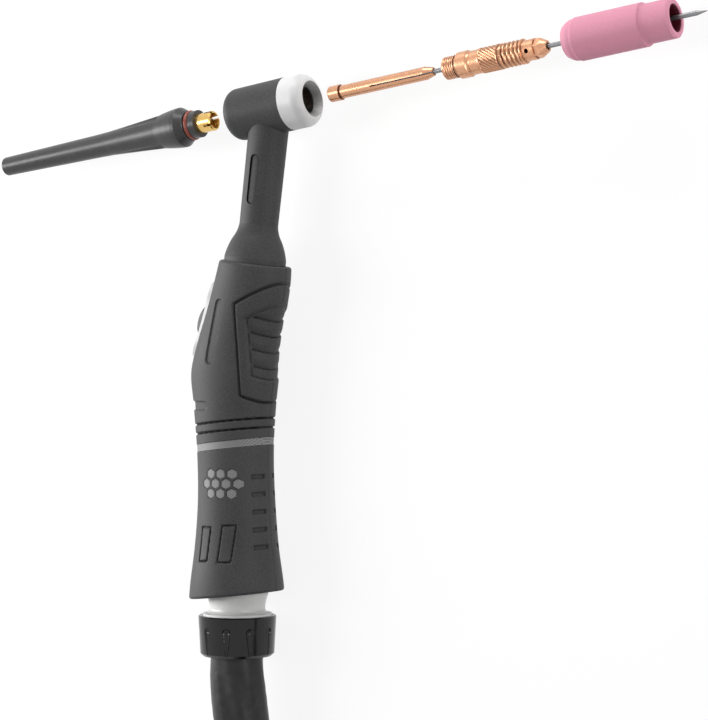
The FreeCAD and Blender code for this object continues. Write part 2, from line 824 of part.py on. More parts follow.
def make_grip():
    """Both grip shells with their marks, the band, the inlays and the screws."""
    under = half_of(grip_body(-grip_groove_depth))
    inlay_under = half_of(grip_body(-inlay_depth))

    neck_cut = Part.makeBox(4 * FAR, 2 * FAR, 2 * FAR, Vector(-2 * FAR, 0, -FAR))
    neck_cut.rotate(Vector(0, 0, 0), Vector(0, 0, 1), -neck_lean)
    neck_cut.translate(neck_axis * neck_flare_end)
    rim_cut = Part.makeBox(4 * FAR, 2 * FAR, 2 * FAR, Vector(-2 * FAR, -2 * FAR, -FAR))
    rim_cut.rotate(Vector(0, 0, 0), Vector(0, 0, 1), grip_rim_slant)
    rim_cut.translate(Vector(ball_centre.x, grip_rim_at, 0))
    body = grip_body(0).cut([neck_cut, rim_cut])
    rims = [edge for edge in body.Edges if edge.BoundBox.YLength < 8 and edge.BoundBox.ZLength > 20]
    body = half_of(body.makeFillet(grip_edge_round, rims))

    cavity = half_of(grip_body(-grip_wall))
    cavity = cavity.common(Part.makeBox(4 * FAR, 4 * FAR, 2 * FAR, Vector(-2 * FAR, cavity_end, -FAR)))
    posts = [Part.makeCylinder(boss_radius, FAR, Vector(x, y, 0), Vector(0, 0, 1)) for x, y in screw_places]
    cavity = cavity.cut(posts)
    socket = Part.makeSphere(ball_radius + seat_thickness + 2 * slip, ball_centre)
    below = Part.makeBox(2 * FAR, 2 * FAR, 2 * FAR, ball_centre + Vector(-FAR, lip_height - 2 * FAR, -FAR))
    lip = along(rod(-lip_height, FAR, lip_radius), ball_centre, DOWN)
    passage = along(rod(-FAR / 2, 0, passage_radius), ball_centre, DOWN)
    body = body.cut([cavity, socket.cut(below), lip, passage])

    sunk = [half_of(mark).cut(under) for mark in grip_marks()]
    band_place = (band_slant, grip_at(band_height)[0])
    band_groove = half_of(strip(band_height, band_width, *band_place)).cut(inlay_under)
    holes = [half_of(cell).cut(inlay_under) for cell in inlay_cells(inlay_cell + seat)]
    frame_hole = trigger_place(trigger_slab(frame_length + 2 * seat, frame_width + 2 * seat, -frame_depth - 4, FAR))
    body = body.cut(sunk + [band_groove] + holes + [frame_hole])

    skin = half_of(grip_body(-inlay_sink)).cut(grip_body(seat - inlay_depth))
    band = half_of(strip(band_height, band_width - 2 * seat, *band_place)).common(skin)
    keep("accent_band", whole(band))
    inlay = [half_of(cell).common(skin) for cell in inlay_cells(inlay_cell)]
    keep("grip_inlay", Part.makeCompound(inlay + [below_middle(cell) for cell in inlay]))

    left = body
    right = below_middle(body)
    screws = []
    for x, y in screw_places:
        axis = Vector(0, 0, 1)
        pilot_depth = screw_length - screw_seat_depth + 1
        left = left.cut(Part.makeCylinder(screw_radius + seat, pilot_depth, Vector(x, y, 0), axis))
        shank_hole = Part.makeCylinder(screw_radius + 3 * seat, FAR, Vector(x, y, -FAR), axis)
        head_hole = Part.makeCylinder(screw_head_radius + 4 * seat, FAR, Vector(x, y, -FAR - screw_seat_depth), axis)
        right = right.cut([shank_hole, head_hole])
        shank = Part.makeCylinder(screw_radius, screw_length, Vector(x, y, -screw_seat_depth), axis)
        head_at = Vector(x, y, -screw_seat_depth - screw_head_height)
        head = Part.makeCylinder(screw_head_radius, screw_head_height, head_at, axis)
        screws.append(shank.fuse(head).removeSplitter())
    keep("grip_shell_left", left)
    keep("grip_shell_right", right)
    keep("shell_screws", Part.makeCompound(screws))


def make_trigger():
    """White frame, domed button, micro switch, its carrier and leads."""
    block = half_of(trigger_place(trigger_slab(frame_length, frame_width, -frame_depth, FAR)))
    opening = trigger_place(trigger_slab(button_length + 2 * slip, button_width + 2 * slip, -FAR, FAR))
    keep("trigger_frame", whole(block.common(half_of(grip_body(frame_proud))).cut(opening)))

    foot = button_foot
    column = trigger_slab(button_length, button_width, foot, button_dome)
    dome_radius = (button_length / 2) ** 2 / (2 * (button_dome - 0.2)) + (button_dome - 0.2) / 2
    dome = Part.makeSphere(dome_radius, Vector(0, button_dome - dome_radius, 0))
    column = column.common(dome)
    tab = Part.makeBox(button_length + 2 * (button_tab + slip), button_tab_height, button_tab_width)
    tab.translate(Vector(-button_length / 2 - button_tab - slip, foot, -button_tab_width / 2))
    keep("trigger_button", trigger_place(column.fuse(tab).removeSplitter()))

    case_top = switch_top
    case = Part.makeBox(switch_length, switch_height, switch_width,
                        Vector(-switch_length / 2 - switch_drop, case_top - switch_height, -switch_width / 2))
    plunger_at = Vector(plunger_offset - switch_drop, case_top, 0)
    plunger = Part.makeCylinder(plunger_radius, plunger_height, plunger_at, UP)
    keep("micro_switch", trigger_place(case.fuse(plunger).removeSplitter()))

    inner = switch_width / 2 + seat
    reach = carrier_length / 2
    lug_from = button_length / 2 + button_tab + slip + 1.0
    wall = outline(
        (-reach, -frame_depth - seat),
        (-reach, case_top - carrier_lug),
        (-reach + carrier_foot, case_top - switch_height + carrier_wall / 2),
        (reach - carrier_foot, case_top - switch_height + carrier_wall / 2),
        (reach, case_top - carrier_lug),
        (reach, -frame_depth - seat),
        (lug_from, -frame_depth - seat),
        (lug_from, case_top),
        (-lug_from, case_top),
        (-lug_from, -frame_depth - seat),
    )
    side = wall.extrude(Vector(0, 0, carrier_wall))
    side.translate(Vector(0, 0, inner))
    other = side.mirror(Vector(0, 0, 0), Vector(0, 0, 1))
    pieces = [side, other]
    for sign in (-1, 1):
        deep = carrier_lug - case_top - frame_depth - seat
        bridge = Part.makeBox(carrier_wall, deep, 2 * inner + 2 * carrier_wall)
        start = sign * (reach - carrier_wall / 2) - carrier_wall / 2
        bridge.translate(Vector(start, case_top - carrier_lug, -inner - carrier_wall))
        pieces.append(bridge)
    carrier = pieces[0].fuse(pieces[1:]).removeSplitter()
    keep("switch_carrier", trigger_place(carrier))


def make_cables():
    """Adapter, crimp, power cable and switch leads inside the grip."""
    start = neck_tube_end + seat
    hexagon = Part.Face(Part.makePolygon([
        Vector(start, adapter_flats / math.sqrt(3) * math.cos(math.radians(60 * index)),
               adapter_flats / math.sqrt(3) * math.sin(math.radians(60 * index))) for index in range(7)]))
    nut = hexagon.extrude(Vector(adapter_nut_length, 0, 0))
    stub = rod(start, start + adapter_length, cable_radius - 0.6)
    adapter = nut.fuse(stub).removeSplitter()
    adapter = adapter.cut(rod(start - 1, start + adapter_length - 6, neck_tube_radius - neck_tube_wall))
    keep("power_adapter", along(adapter, Vector(0, 0, 0), neck_axis))

    cable_start = neck_axis * (start + adapter_length + seat)
    route = [
        cable_start,
        cable_start + neck_axis * 20,
        Vector(-15.2, -130.0, 0),
        Vector(ball_centre.x, -160.0, 0),
        Vector(ball_centre.x, cable_end, 0),
    ]
    keep("power_cable", tube(route_edges(route, "power cable"), cable_radius, "power cable"))
    crimp = rod(start + adapter_nut_length + seat, start + adapter_length + crimp_length, crimp_radius)
    crimp = crimp.cut(rod(start, start + adapter_length + crimp_length + 1, cable_radius + seat))
    keep("cable_crimp", along(crimp, Vector(0, 0, 0), neck_axis))

    slope = math.radians(trigger_slope)
    down = Vector(-math.sin(slope), -math.cos(slope), 0)
    exit_depth = switch_top - switch_height + 2 * lead_radius
    case_end = trigger_place(Part.Vertex(-switch_length / 2 - switch_drop - seat, exit_depth, 0)).Point
    leads = []
    for side in (-1, 1):
        across = Vector(0, 0, side * 1.5)
        route = [
            case_end + across,
            case_end + across + down * 9,
            Vector(-24.6, -124.0, side * 1.5),
            Vector(-25.2, -160.0, side * 1.5),
            Vector(-24.9, cable_end, side * 1.5),
        ]
        leads.append(tube(route_edges(route, "switch lead"), lead_radius, "switch lead"))
    keep("switch_leads", Part.makeCompound(leads))


def make_ball_joint():
    """Knuckle, its seat ring, the nut and the cable end inside the knuckle."""
    shoulder_radius = math.sqrt(ball_radius ** 2 - knuckle_shoulder ** 2)
    middle = (ball_top + knuckle_shoulder) / 2
    waist_bend = (knuckle_trumpet[-1][0] + knuckle_waist_at) / 2
    top_radius = math.sqrt(ball_radius ** 2 - ball_top ** 2)
    flange_end = knuckle_flange_at + knuckle_flange_height
    knuckle = turned(
        (-ball_top, knuckle_bore),
        (-ball_top, top_radius),
        ((-middle, math.sqrt(ball_radius ** 2 - middle ** 2)), (-knuckle_shoulder, shoulder_radius)),
        *knuckle_trumpet,
        ((waist_bend, knuckle_waist_radius + 0.35), (knuckle_waist_at, knuckle_waist_radius)),
        (knuckle_waist_at + 1.0, knuckle_waist_radius + 0.1),
        (knuckle_flange_at - 0.2, knuckle_waist_radius + 0.9),
        (knuckle_flange_at + 0.2, knuckle_flange_radius),
        (flange_end, knuckle_flange_radius),
        (flange_end, knuckle_barrel_radius),
        (knuckle_length - 0.5, knuckle_barrel_radius),
        (knuckle_length, knuckle_barrel_radius - 0.5),
        (knuckle_length, knuckle_bore),
    )
    keep("ball_knuckle", along(knuckle, ball_centre, DOWN))

    inner = ball_radius + slip
    outer = inner + seat_thickness
    band = Part.makeSphere(outer, ball_centre).cut(Part.makeSphere(inner, ball_centre))
    slab = Part.makeBox(2 * FAR, seat_high - seat_low, 2 * FAR, ball_centre + Vector(-FAR, seat_low, -FAR))
    keep("ball_seat", band.common(slab))

    nut_end = nut_top_at + nut_length
    nut = turned(
        (nut_top_at, knuckle_flange_radius + slip),
        (nut_top_at, nut_top_radius - 0.5),
        (nut_top_at + 0.5, nut_top_radius),
        (nut_end - 1.2, nut_low_radius + 0.08),
        (nut_end, nut_low_radius - 1.1),
        (nut_end, hose_diameter / 2 + slip + 0.05),
        (knuckle_length + slip, hose_diameter / 2 + slip + 0.05),
        (knuckle_length + slip, knuckle_flange_radius + slip),
    )
    flute_start = nut_top_at + flute_from
    axis_radius = nut_top_radius - 0.2 + flute_sink
    end_radius = nut_low_radius + 0.02
    cone = Part.makeCone(flute_top_radius, flute_low_radius, nut_end - flute_start, Vector(0, 0, 0), X_AXIS)
    cutter = cone.fuse(Part.makeSphere(flute_top_radius, Vector(0, 0, 0)))
    lean = math.degrees(math.atan((axis_radius - end_radius) / (nut_end - flute_start)))
    cutter.rotate(Vector(0, 0, 0), Vector(0, 1, 0), lean)
    cutter.translate(Vector(flute_start, 0, axis_radius))
    nut = nut.cut(spaced(cutter, nut_flutes, 18.0))
    keep("support_nut", along(nut, ball_centre, DOWN))

    core = rod(-ball_top + 3, knuckle_length - seat, cable_radius)
    keep("cable_core", along(core, ball_centre, DOWN))


def hose_routes(bench):
    """Points of the hose from the knuckle to its coil, and from the coil to its connector."""
    floor = bench + hose_diameter / 2
    layer = floor + coil_layer_pitch
    connector_axis = bench + connector_radius
    lead = [
        ball_centre + Vector(0, -knuckle_length, 0),
        Vector(ball_centre.x, -256.0, 0),
        Vector(-11.0, -300.0, 0.3 * floor),
        Vector(hose_start_x, -365.0, floor),
        Vector(hose_start_x, coil_centre_y, floor),
    ]
    tail = [
        Vector(tail_x, coil_centre_y, layer),
        Vector(tail_x, -386.0, layer),
        Vector(tail_x, -322.0, connector_axis),
        Vector(tail_x, -258.0, connector_axis),
    ]
    return lead, tail


def make_hose(lead_route, tail_route):
    """The hose: its lead, its coil of two layers and its tail."""
    keep("hose_lead", tube(route_edges(lead_route, "hose lead"), hose_diameter / 2, "hose lead"), cord=True)

    centre_x = hose_start_x + coil_start_radius
    pitch = coil_turn_pitch
    # Distances from the coil's centre at each half turn: in by half a pitch each, then out again
    inward = [coil_start_radius - 0.5 * pitch * step for step in range(6)]
    outward = [coil_radius - 0.5 * pitch + 0.5 * pitch * step for step in range(4)]
    edges = []
    stations = []
    for index, distance in enumerate(inward + outward):
        side = -1 if index % 2 == 0 else 1
        height = lead_route[-1].z if index < len(inward) - 1 else tail_route[0].z
        stations.append((Vector(centre_x + side * distance, coil_centre_y, height), Vector(0, side, 0)))
    for (start, start_heading), (end, end_heading) in zip(stations, stations[1:]):
        edges.extend(biarc(start, start_heading, end, end_heading))
    keep("hose_coil", tube(edges, hose_diameter / 2, "hose coil"), cord=True)
    print_gap(edges)

    keep("hose_tail", tube(route_edges(tail_route, "hose tail"), hose_diameter / 2, "hose tail"), cord=True)


def print_gap(edges):
    """Print the least gap between the coil's turns."""
    step = 3.0
    samples = []
    travelled = 0.0
    for edge in edges:
        count = max(2, int(edge.Length / step))
        spots = edge.discretize(count + 1)
        for spot in spots[:-1]:
            samples.append((travelled, spot))
            travelled += edge.Length / count
    least = 1e9
    apart = 3 * hose_diameter
    for index, (reach, spot) in enumerate(samples):
        for other_index in range(index + 1, len(samples) - 1):
            other_reach, other = samples[other_index]
            if other_reach - reach < apart:
                continue
            if abs(other.x - spot.x) > 40 or abs(other.y - spot.y) > 40:
                continue
            following = samples[other_index + 1][1]
            span = following.sub(other)
            share = max(0.0, min(1.0, spot.sub(other).dot(span) / span.dot(span)))
            least = min(least, spot.sub(other + span * share).Length)
    print("coil length", round(travelled, 1), "least gap", round(least - hose_diameter, 2))


def make_connector(end):
    """Connector on the hose's far end: kink guard, shell, union nut, insert and pins."""
    hose_room = hose_diameter / 2 + seat
    slope = (boot_large_radius - boot_small_radius) / boot_length
    boot = turned(
        (-boot_length, hose_room),
        (-boot_length, boot_small_radius),
        (0, boot_large_radius),
        (0, hose_room),
    )
    cuts = []
    for index in range(boot_grooves):
        middle = -boot_length + 4.5 + 5.6 * index
        radius = boot_small_radius + slope * (middle + boot_length)
        cuts.append(rod(middle - 1.2, middle + 1.2, 2 * radius).cut(rod(middle - 2, middle + 2, radius - 1.3)))
    boot = boot.cut(cuts)
    keep("connector_boot", along(boot, end, UP), cord=True)

    shell = turned(
        (seat, hose_room),
        (seat, boot_large_radius),
        (1.5, connector_radius - 0.8),
        (3.0, connector_radius),
        (shell_length - 1.2, connector_radius),
        (shell_length, connector_radius - 1.2),
        (shell_length, insert_plug_radius + seat),
        (shell_end_wall, insert_plug_radius + seat),
        (shell_end_wall, hose_room),
    )
    rib = rod(10, shell_length - 8, 1.6)
    rib.translate(Vector(0, 0, connector_radius + 0.7))
    shell = shell.cut(spaced(rib, shell_ribs, 15.0))
    keep("connector_shell", along(shell, end, UP), cord=True)

    collar_at = shell_length + plug_collar_gap
    plug = turned(
        (shell_end_wall + seat, 0),
        (shell_end_wall + seat, insert_plug_radius),
        (collar_at, insert_plug_radius),
        (collar_at, plug_collar_radius),
        (collar_at + plug_collar_height, plug_collar_radius),
        (collar_at + plug_collar_height, insert_plug_radius - 0.6),
        (insert_plug_end, insert_plug_radius - 0.6),
        (insert_plug_end, 0),
    )
    contact_hole = rod(insert_plug_end - contact_depth, insert_plug_end + 1, contact_radius + seat)
    contact_hole.translate(Vector(0, 0, contact_circle))
    plug = plug.cut([rod(insert_plug_end - pin_shank_length, insert_plug_end + 1, pin_shank_radius + seat)]
                    + spaced(contact_hole, contact_count, 45.0))
    keep("connector_insert", along(plug, end, UP), cord=True)

    union_start = shell_length + slip
    lip_end = collar_at - slip
    union = turned(
        (union_start, insert_plug_radius + slip),
        (union_start, union_radius - 0.8),
        (union_start + 0.8, union_radius),
        (union_start + union_length - 0.8, union_radius),
        (union_start + union_length, union_radius - 0.8),
        (union_start + union_length, plug_collar_radius + slip),
        (lip_end, plug_collar_radius + slip),
        (lip_end, insert_plug_radius + slip),
    )
    flute = rod(union_start + 3, union_start + union_length - 3, 1.5)
    flute.translate(Vector(0, 0, union_radius + 0.6))
    union = union.cut(spaced(flute, union_flutes))
    keep("connector_nut", along(union, end, UP), cord=True)

    pin = turned(
        (insert_plug_end - pin_shank_length + seat, 0),
        (insert_plug_end - pin_shank_length + seat, pin_shank_radius),
        (insert_plug_end + seat, pin_shank_radius),
        (insert_plug_end + seat, pin_radius),
        (insert_plug_end + seat + pin_length, pin_radius),
        (insert_plug_end + seat + pin_length, pin_bore),
        (insert_plug_end + seat, pin_bore),
        (insert_plug_end + seat, 0),
    )
    contact_top = insert_plug_end - contact_sink
    contact = rod(insert_plug_end - contact_depth + seat, contact_top, contact_radius)
    contact = contact.cut(rod(insert_plug_end - contact_depth / 2, contact_top + 1, contact_bore))
    contact.translate(Vector(0, 0, contact_circle))
    pins = Part.makeCompound([pin] + spaced(contact, contact_count, 45.0))
    keep("connector_pins", along(pins, end, UP), cord=True)


def own_box():
    """The box of the torch's own pieces, without the hose and what is on it."""
    own = Part.makeCompound([shape for name, shape in shapes.items() if name not in cord_names])
    return own.optimalBoundingBox(False, False)


def write_parts(box):
    """Stand the object on the bench with its own footprint's centre at the origin, and write it."""
    os.makedirs("parts", exist_ok=True)
    shift = Vector(-box.Center.x, -box.Center.y, -box.ZMin)
    print("own box", [round(size, 2) for size in (box.XLength, box.YLength, box.ZLength)])
    print("head centre at", [round(place, 3) for place in (shift.x, shift.y, shift.z)])
    for name, shape in shapes.items():
        shape.translate(shift)
        shape.exportStep("parts/" + name + ".step")
        print(f"{name:18s} solids {len(shape.Solids):2d} faces {len(shape.Faces):3d}"
              f" valid {shape.isValid()} volume {shape.Volume:.1f}")


make_head()
make_back_cap()
make_consumables()
make_grip()
make_trigger()
make_cables()
make_ball_joint()
torch_box = own_box()
to_coil, to_connector = hose_routes(torch_box.ZMin)
make_hose(to_coil, to_connector)
make_connector(to_connector[-1])
write_parts(torch_box)
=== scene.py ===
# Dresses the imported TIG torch: moulded grip, turned consumables, hose with its folds, and their materials.
# Lengths are millimetres round the centre of the head, until they are laid in the frame in metres.
import json
import math

import bmesh
import bpy
import numpy as np
from mathutils import Matrix, Vector


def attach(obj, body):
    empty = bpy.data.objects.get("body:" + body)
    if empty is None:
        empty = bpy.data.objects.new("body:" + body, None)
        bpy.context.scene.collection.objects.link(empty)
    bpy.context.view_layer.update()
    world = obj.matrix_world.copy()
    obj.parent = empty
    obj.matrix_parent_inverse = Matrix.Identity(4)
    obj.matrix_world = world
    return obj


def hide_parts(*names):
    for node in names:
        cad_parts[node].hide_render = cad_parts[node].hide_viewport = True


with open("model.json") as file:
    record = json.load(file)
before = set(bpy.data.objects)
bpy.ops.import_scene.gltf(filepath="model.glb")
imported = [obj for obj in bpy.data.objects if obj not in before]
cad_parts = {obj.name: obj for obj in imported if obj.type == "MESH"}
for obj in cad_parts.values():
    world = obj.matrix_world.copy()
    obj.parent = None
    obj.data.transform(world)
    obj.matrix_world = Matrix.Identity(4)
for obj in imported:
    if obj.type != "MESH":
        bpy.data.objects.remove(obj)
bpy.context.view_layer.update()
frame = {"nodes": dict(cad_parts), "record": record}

# Where the head's centre lies in the frame, and how head, neck and grip lean
HEAD = Vector((-27.759, 102.046, 20.354))
HEAD_TILT = 7.4
NECK_LEAN = 7.2
BALL = Vector((-17.6, -207.4, 0.0))
MILLIMETRE = 0.001
HEAD_AXIS = Vector((math.cos(math.radians(HEAD_TILT)), math.sin(math.radians(HEAD_TILT)), 0.0))
NECK_AXIS = Vector((-math.sin(math.radians(NECK_LEAN)), -math.cos(math.radians(NECK_LEAN)), 0.0))

# The photograph's camera: lens, height of its picture, place, and the direction to its right
CAMERA_LENS = 122.0
CAMERA_PICTURE = 36.0
CAMERA_SPOT = (587.99, -108.5, 870.66)
CAMERA_RIGHT = (0.84727, 0.0, -0.53117)

# Hose route, as in the part's source
BENCH = -HEAD.z
HOSE_RADIUS = 12.25
FLOOR = BENCH + HOSE_RADIUS
LAYER = FLOOR + 25.2      # the coil's second layer
CONNECTOR_AXIS = BENCH + 21.5
COIL_CENTRE = (156.5, -421.0)
COIL_START = 158.5
COIL_STEP = 12.6
COIL_STEPS = (0, 1, 2, 3, 4, 5, 3, 2, 1, 0)   # how many steps inwards, at every half turn
COIL_POINTS = 24          # for each turn
CLIMB_START = 4.0         # half turns before it climbs to the second layer
KNUCKLE_LENGTH = 26.0
TAIL_X = 315.0

# Sleeve: how far it lies inside the hose's radius, and where the nut holds it smooth
SLEEVE_CORNERS = 72
SLEEVE_RESOLUTION = 8
SLEEVE_INSET = 0.75
SLEEVE_LEAST_INSET = 0.1
HELD_INSET = 0.9
HELD_LENGTH = 12.0
FOLD_TWIST = 60.0         # length over which the folds turn by a radian
FOLD_DEPTH = 1.3
SWELL_DEPTH = 0.3
# Folds: count round the sleeve, strength, start, and how far, over what length and from where they wander
FOLDS = [(3, 0.55, 0.0, 0.8, 47.0, 0.0), (5, 0.35, 1.3, 0.6, 31.0, 2.0)]
FINE_FOLDS = (9, 0.2, 23.0)
SWELLS = [(0.25, 38.0, 0.0), (0.15, 17.0, 1.0)]


def place(point):
    """A point round the head's centre, in the frame and in metres."""
    return (Vector(point) + HEAD) * MILLIMETRE


def make_camera():
    """The photograph's camera, from its measured place and heading."""
    data = bpy.data.cameras.new("photo_camera")
    data.lens = CAMERA_LENS
    data.sensor_fit = "VERTICAL"
    data.sensor_height = CAMERA_PICTURE
    data.clip_start = 0.05
    data.clip_end = 50.0
    camera = bpy.data.objects.new("photo_camera", data)
    right = Vector(CAMERA_RIGHT)
    up = Vector((0.0, 1.0, 0.0))
    back = right.cross(up)
    turned = Matrix((right, up, back)).transposed().to_4x4()
    camera.matrix_world = Matrix.Translation(place(CAMERA_SPOT)) @ turned
    bpy.context.scene.collection.objects.link(camera)
    bpy.context.scene.camera = camera


def hose_points():
    """Control points of the hose: its lead, its coil in two layers and its tail."""
    lead = [
        (BALL.x, BALL.y - KNUCKLE_LENGTH, 0.0),
        (BALL.x, -256.0, 0.0),
        (-11.0, -300.0, 0.3 * FLOOR),
        (-2.0, -365.0, FLOOR),
    ]
    tail = [
        (TAIL_X, -386.0, LAYER),
        (TAIL_X, -322.0, CONNECTOR_AXIS),
        (TAIL_X, -258.0, CONNECTOR_AXIS),
    ]
    distances = [COIL_START - COIL_STEP * step for step in COIL_STEPS]
    half = COIL_POINTS // 2
    # The spline runs a little inside its control points
    spread = 2 / (1 + math.cos(math.pi / half))
    coil = []
    for index in range(half * (len(distances) - 1) + 1):
        here = min(index // half, len(distances) - 2)
        share = index / half - here
        distance = distances[here] + share * (distances[here + 1] - distances[here])
        angle = math.pi + math.pi * index / half
        climb = min(max(index / half - CLIMB_START, 0.0), 1.0)
        height = FLOOR + (LAYER - FLOOR) * climb * climb * (3 - 2 * climb)
        coil.append((COIL_CENTRE[0] + spread * distance * math.cos(angle),
                     COIL_CENTRE[1] + spread * distance * math.sin(angle), height))
    return lead + coil + tail


def spline_points(points, resolution):
    """Points along the smooth NURBS line whose control points are given."""
    data = bpy.data.curves.new("hose_line", "CURVE")
    data.dimensions = "3D"
    data.resolution_u = resolution
    spline = data.splines.new("NURBS")
    spline.points.add(len(points) - 1)
    for control, point in zip(spline.points, points):
        control.co = (*place(point), 1.0)
    spline.order_u = 3
    spline.use_endpoint_u = True
    line = bpy.data.objects.new("hose_line", data)
    bpy.context.scene.collection.objects.link(line)
    bpy.context.view_layer.update()
    mesh = bpy.data.meshes.new_from_object(line)
    found = [vertex.co.copy() for vertex in mesh.vertices]
    bpy.data.objects.remove(line)
    bpy.data.meshes.remove(mesh)
    return found


def mesh_object(name, vertices, faces, smooth_angle=35.0):
    """An object from points in metres and faces, with smooth shading but for sharp edges."""
    mesh = bpy.data.meshes.new(name)
    mesh.from_pydata([tuple(vertex) for vertex in vertices], [], faces)
    mesh.validate()
    mesh.update()
    mesh.set_sharp_from_angle(angle=math.radians(smooth_angle))
    for polygon in mesh.polygons:
        polygon.use_smooth = True
    piece = bpy.data.objects.new(name, mesh)
    bpy.context.scene.collection.objects.link(piece)
    return piece


def tube_frames(points):
    """Side vectors along a line that turn no more than they must."""
    tangents = []
    for index in range(len(points)):
        before = points[max(index - 1, 0)]
        after = points[min(index + 1, len(points) - 1)]
        tangents.append((after - before).normalized())
    side = Vector((0, 0, 1)).cross(tangents[0]).normalized()
    sides = []
    for tangent in tangents:
        side = (side - tangent * side.dot(tangent)).normalized()
        sides.append((side, tangent.cross(side).normalized()))
    return sides


def sleeve_radius(turn, reach):
    """Radius of the sleeve at an angle, some way along the hose."""
    twist = turn + reach / FOLD_TWIST
    folds = 0.0
    for count, strength, start, wander, length, begin in FOLDS:
        folds += strength * math.sin(count * twist + start + wander * math.sin(reach / length + begin))
    count, strength, length = FINE_FOLDS
    folds += strength * math.sin(count * twist + reach / length)
    swell = sum(strength * math.sin(reach / length + start) for strength, length, start in SWELLS)
    radius = HOSE_RADIUS - SLEEVE_INSET + FOLD_DEPTH * folds + SWELL_DEPTH * swell
    radius = min(radius, HOSE_RADIUS - SLEEVE_LEAST_INSET)
    # The sleeve is drawn smooth where the nut holds it
    if reach < HELD_LENGTH:
        radius += (HOSE_RADIUS - HELD_INSET - radius) * (1 - reach / HELD_LENGTH)
    return radius


def make_hose():
    """The sleeve: a tube with soft folds that twist slowly round it."""
    points = spline_points(hose_points(), SLEEVE_RESOLUTION)
    count = SLEEVE_CORNERS
    vertices = []
    faces = []
    travelled = 0.0
    for index, (point, (side, over)) in enumerate(zip(points, tube_frames(points))):
        if index:
            travelled += (point - points[index - 1]).length
        for corner in range(count):
            turn = 2 * math.pi * corner / count
            radius = sleeve_radius(turn, travelled / MILLIMETRE)
            outward = side * math.cos(turn) + over * math.sin(turn)
            vertices.append(point + outward * radius * MILLIMETRE)
    for row in range(len(points) - 1):
        for corner in range(count):
            ahead = (corner + 1) % count
            faces.append((row * count + corner, row * count + ahead,
                          (row + 1) * count + ahead, (row + 1) * count + corner))
    faces.append(tuple(range(count))[::-1])
    last = (len(points) - 1) * count
    faces.append(tuple(range(last, last + count)))
    hose = mesh_object("hose", vertices, faces)
    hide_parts("hose_lead", "hose_coil", "hose_tail")
    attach(hose, "hose_package")
    return hose


def turned_skin(name, profile, start, shape, corners, smooth_angle):
    """Skin turned about the head axis from a closed loop of (along, radius) points, and shaped."""
    across = Vector((0, 0, 1))
    sideways = HEAD_AXIS.normalized().cross(across).normalized()
    stations = np.array([point[0] for point in profile], float)
    radii = np.array([point[1] for point in profile], float)
    angles = 2 * np.pi * np.arange(corners) / corners
    station_grid, angle_grid = np.meshgrid(stations, angles, indexing="ij")
    radius_grid = shape(station_grid, angle_grid, np.repeat(radii[:, None], corners, axis=1))
    spots = (np.array(place(start))
             + MILLIMETRE * station_grid[..., None] * np.array(HEAD_AXIS.normalized())
             + MILLIMETRE * (radius_grid * np.cos(angle_grid))[..., None] * np.array(across)
             + MILLIMETRE * (radius_grid * np.sin(angle_grid))[..., None] * np.array(sideways))
    piece = mesh_object(name, spots.reshape(-1, 3), ring_faces(len(profile), corners), smooth_angle)
    face_outwards(piece)
    return piece


def ring_faces(row_count, corners):
    """Faces between rings of points, each joined to the next and the last to the first."""
    index = np.arange(row_count * corners).reshape(row_count, corners)
    after = np.roll(index, -1, axis=0)
    around = [index, after, np.roll(after, -1, axis=1), np.roll(index, -1, axis=1)]
    return np.stack(around, axis=-1).reshape(-1, 4).tolist()


def face_outwards(piece):
    """Make every face of a closed skin look outwards."""
    work = bmesh.new()
    work.from_mesh(piece.data)
    bmesh.ops.recalc_face_normals(work, faces=work.faces)
    work.to_mesh(piece.data)
    work.free()


def refined(profile, step):
    """The profile with points added so that no stretch is longer than the step."""
    result = []
    for (start, low), (end, high) in zip(profile, profile[1:]):
        result.append((start, low))
        pieces = max(1, int(math.hypot(end - start, high - low) / step))
        for index in range(1, pieces):
            share = index / pieces
            result.append((start + share * (end - start), low + share * (high - low)))
    result.append(profile[-1])
    return result


def smooth_step(low, high, value):
    """0 below low, 1 above high, and a smooth rise between."""
    share = np.clip((value - low) / (high - low), 0.0, 1.0)
    return share * share * (3 - 2 * share)


def dress(piece, slot_name, body, *nodes):
    """Hide the nodes that the piece stands for and hang it on the body that it rides on; the slot's name is
    not used.
    """
    if nodes:
        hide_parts(*nodes)
    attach(piece, body)
    return piece


# The grip, as in the part's source: height, centre in X, half width in X, half thickness in Z
GRIP_SECTIONS = np.array([
    (-60.0, -7.3, 15.0, 15.0),
    (-74.0, -9.5, 16.9, 15.6),
    (-88.0, -12.9, 18.0, 16.1),
    (-102.0, -16.6, 19.4, 16.3),
    (-113.0, -18.6, 20.4, 16.4),
    (-128.0, -18.9, 18.6, 16.4),
    (-148.0, -18.6, 16.9, 16.2),
    (-170.0, -18.0, 17.0, 16.5),
    (-190.0, -17.9, 18.5, 17.9),
    (-206.0, -17.8, 20.5, 20.0),
    (-216.0, -17.8, 21.4, 20.6),
])[::-1]
# Its ends, its wall and the socket of the ball
GRIP_TOP = 67.2
GRIP_WALL = 2.6
RIM_HEIGHT = -210.3
RIM_SLANT = 6.2
EDGE_ROUND = 1.2
TOP_INSETS = (2.9, 1.6)
LIP_RADIUS = 14.4
SOCKET_RADIUS = 17.3
SOCKET_LOW = 0.6
SOCKET_ARC = (2.0, 46.0)  # degrees: its start and its length
PASSAGE_RADIUS = 11.6
CAVITY_END = -186.5
INSIDE_TOP = -80.0
SHELL_GAP = 0.02
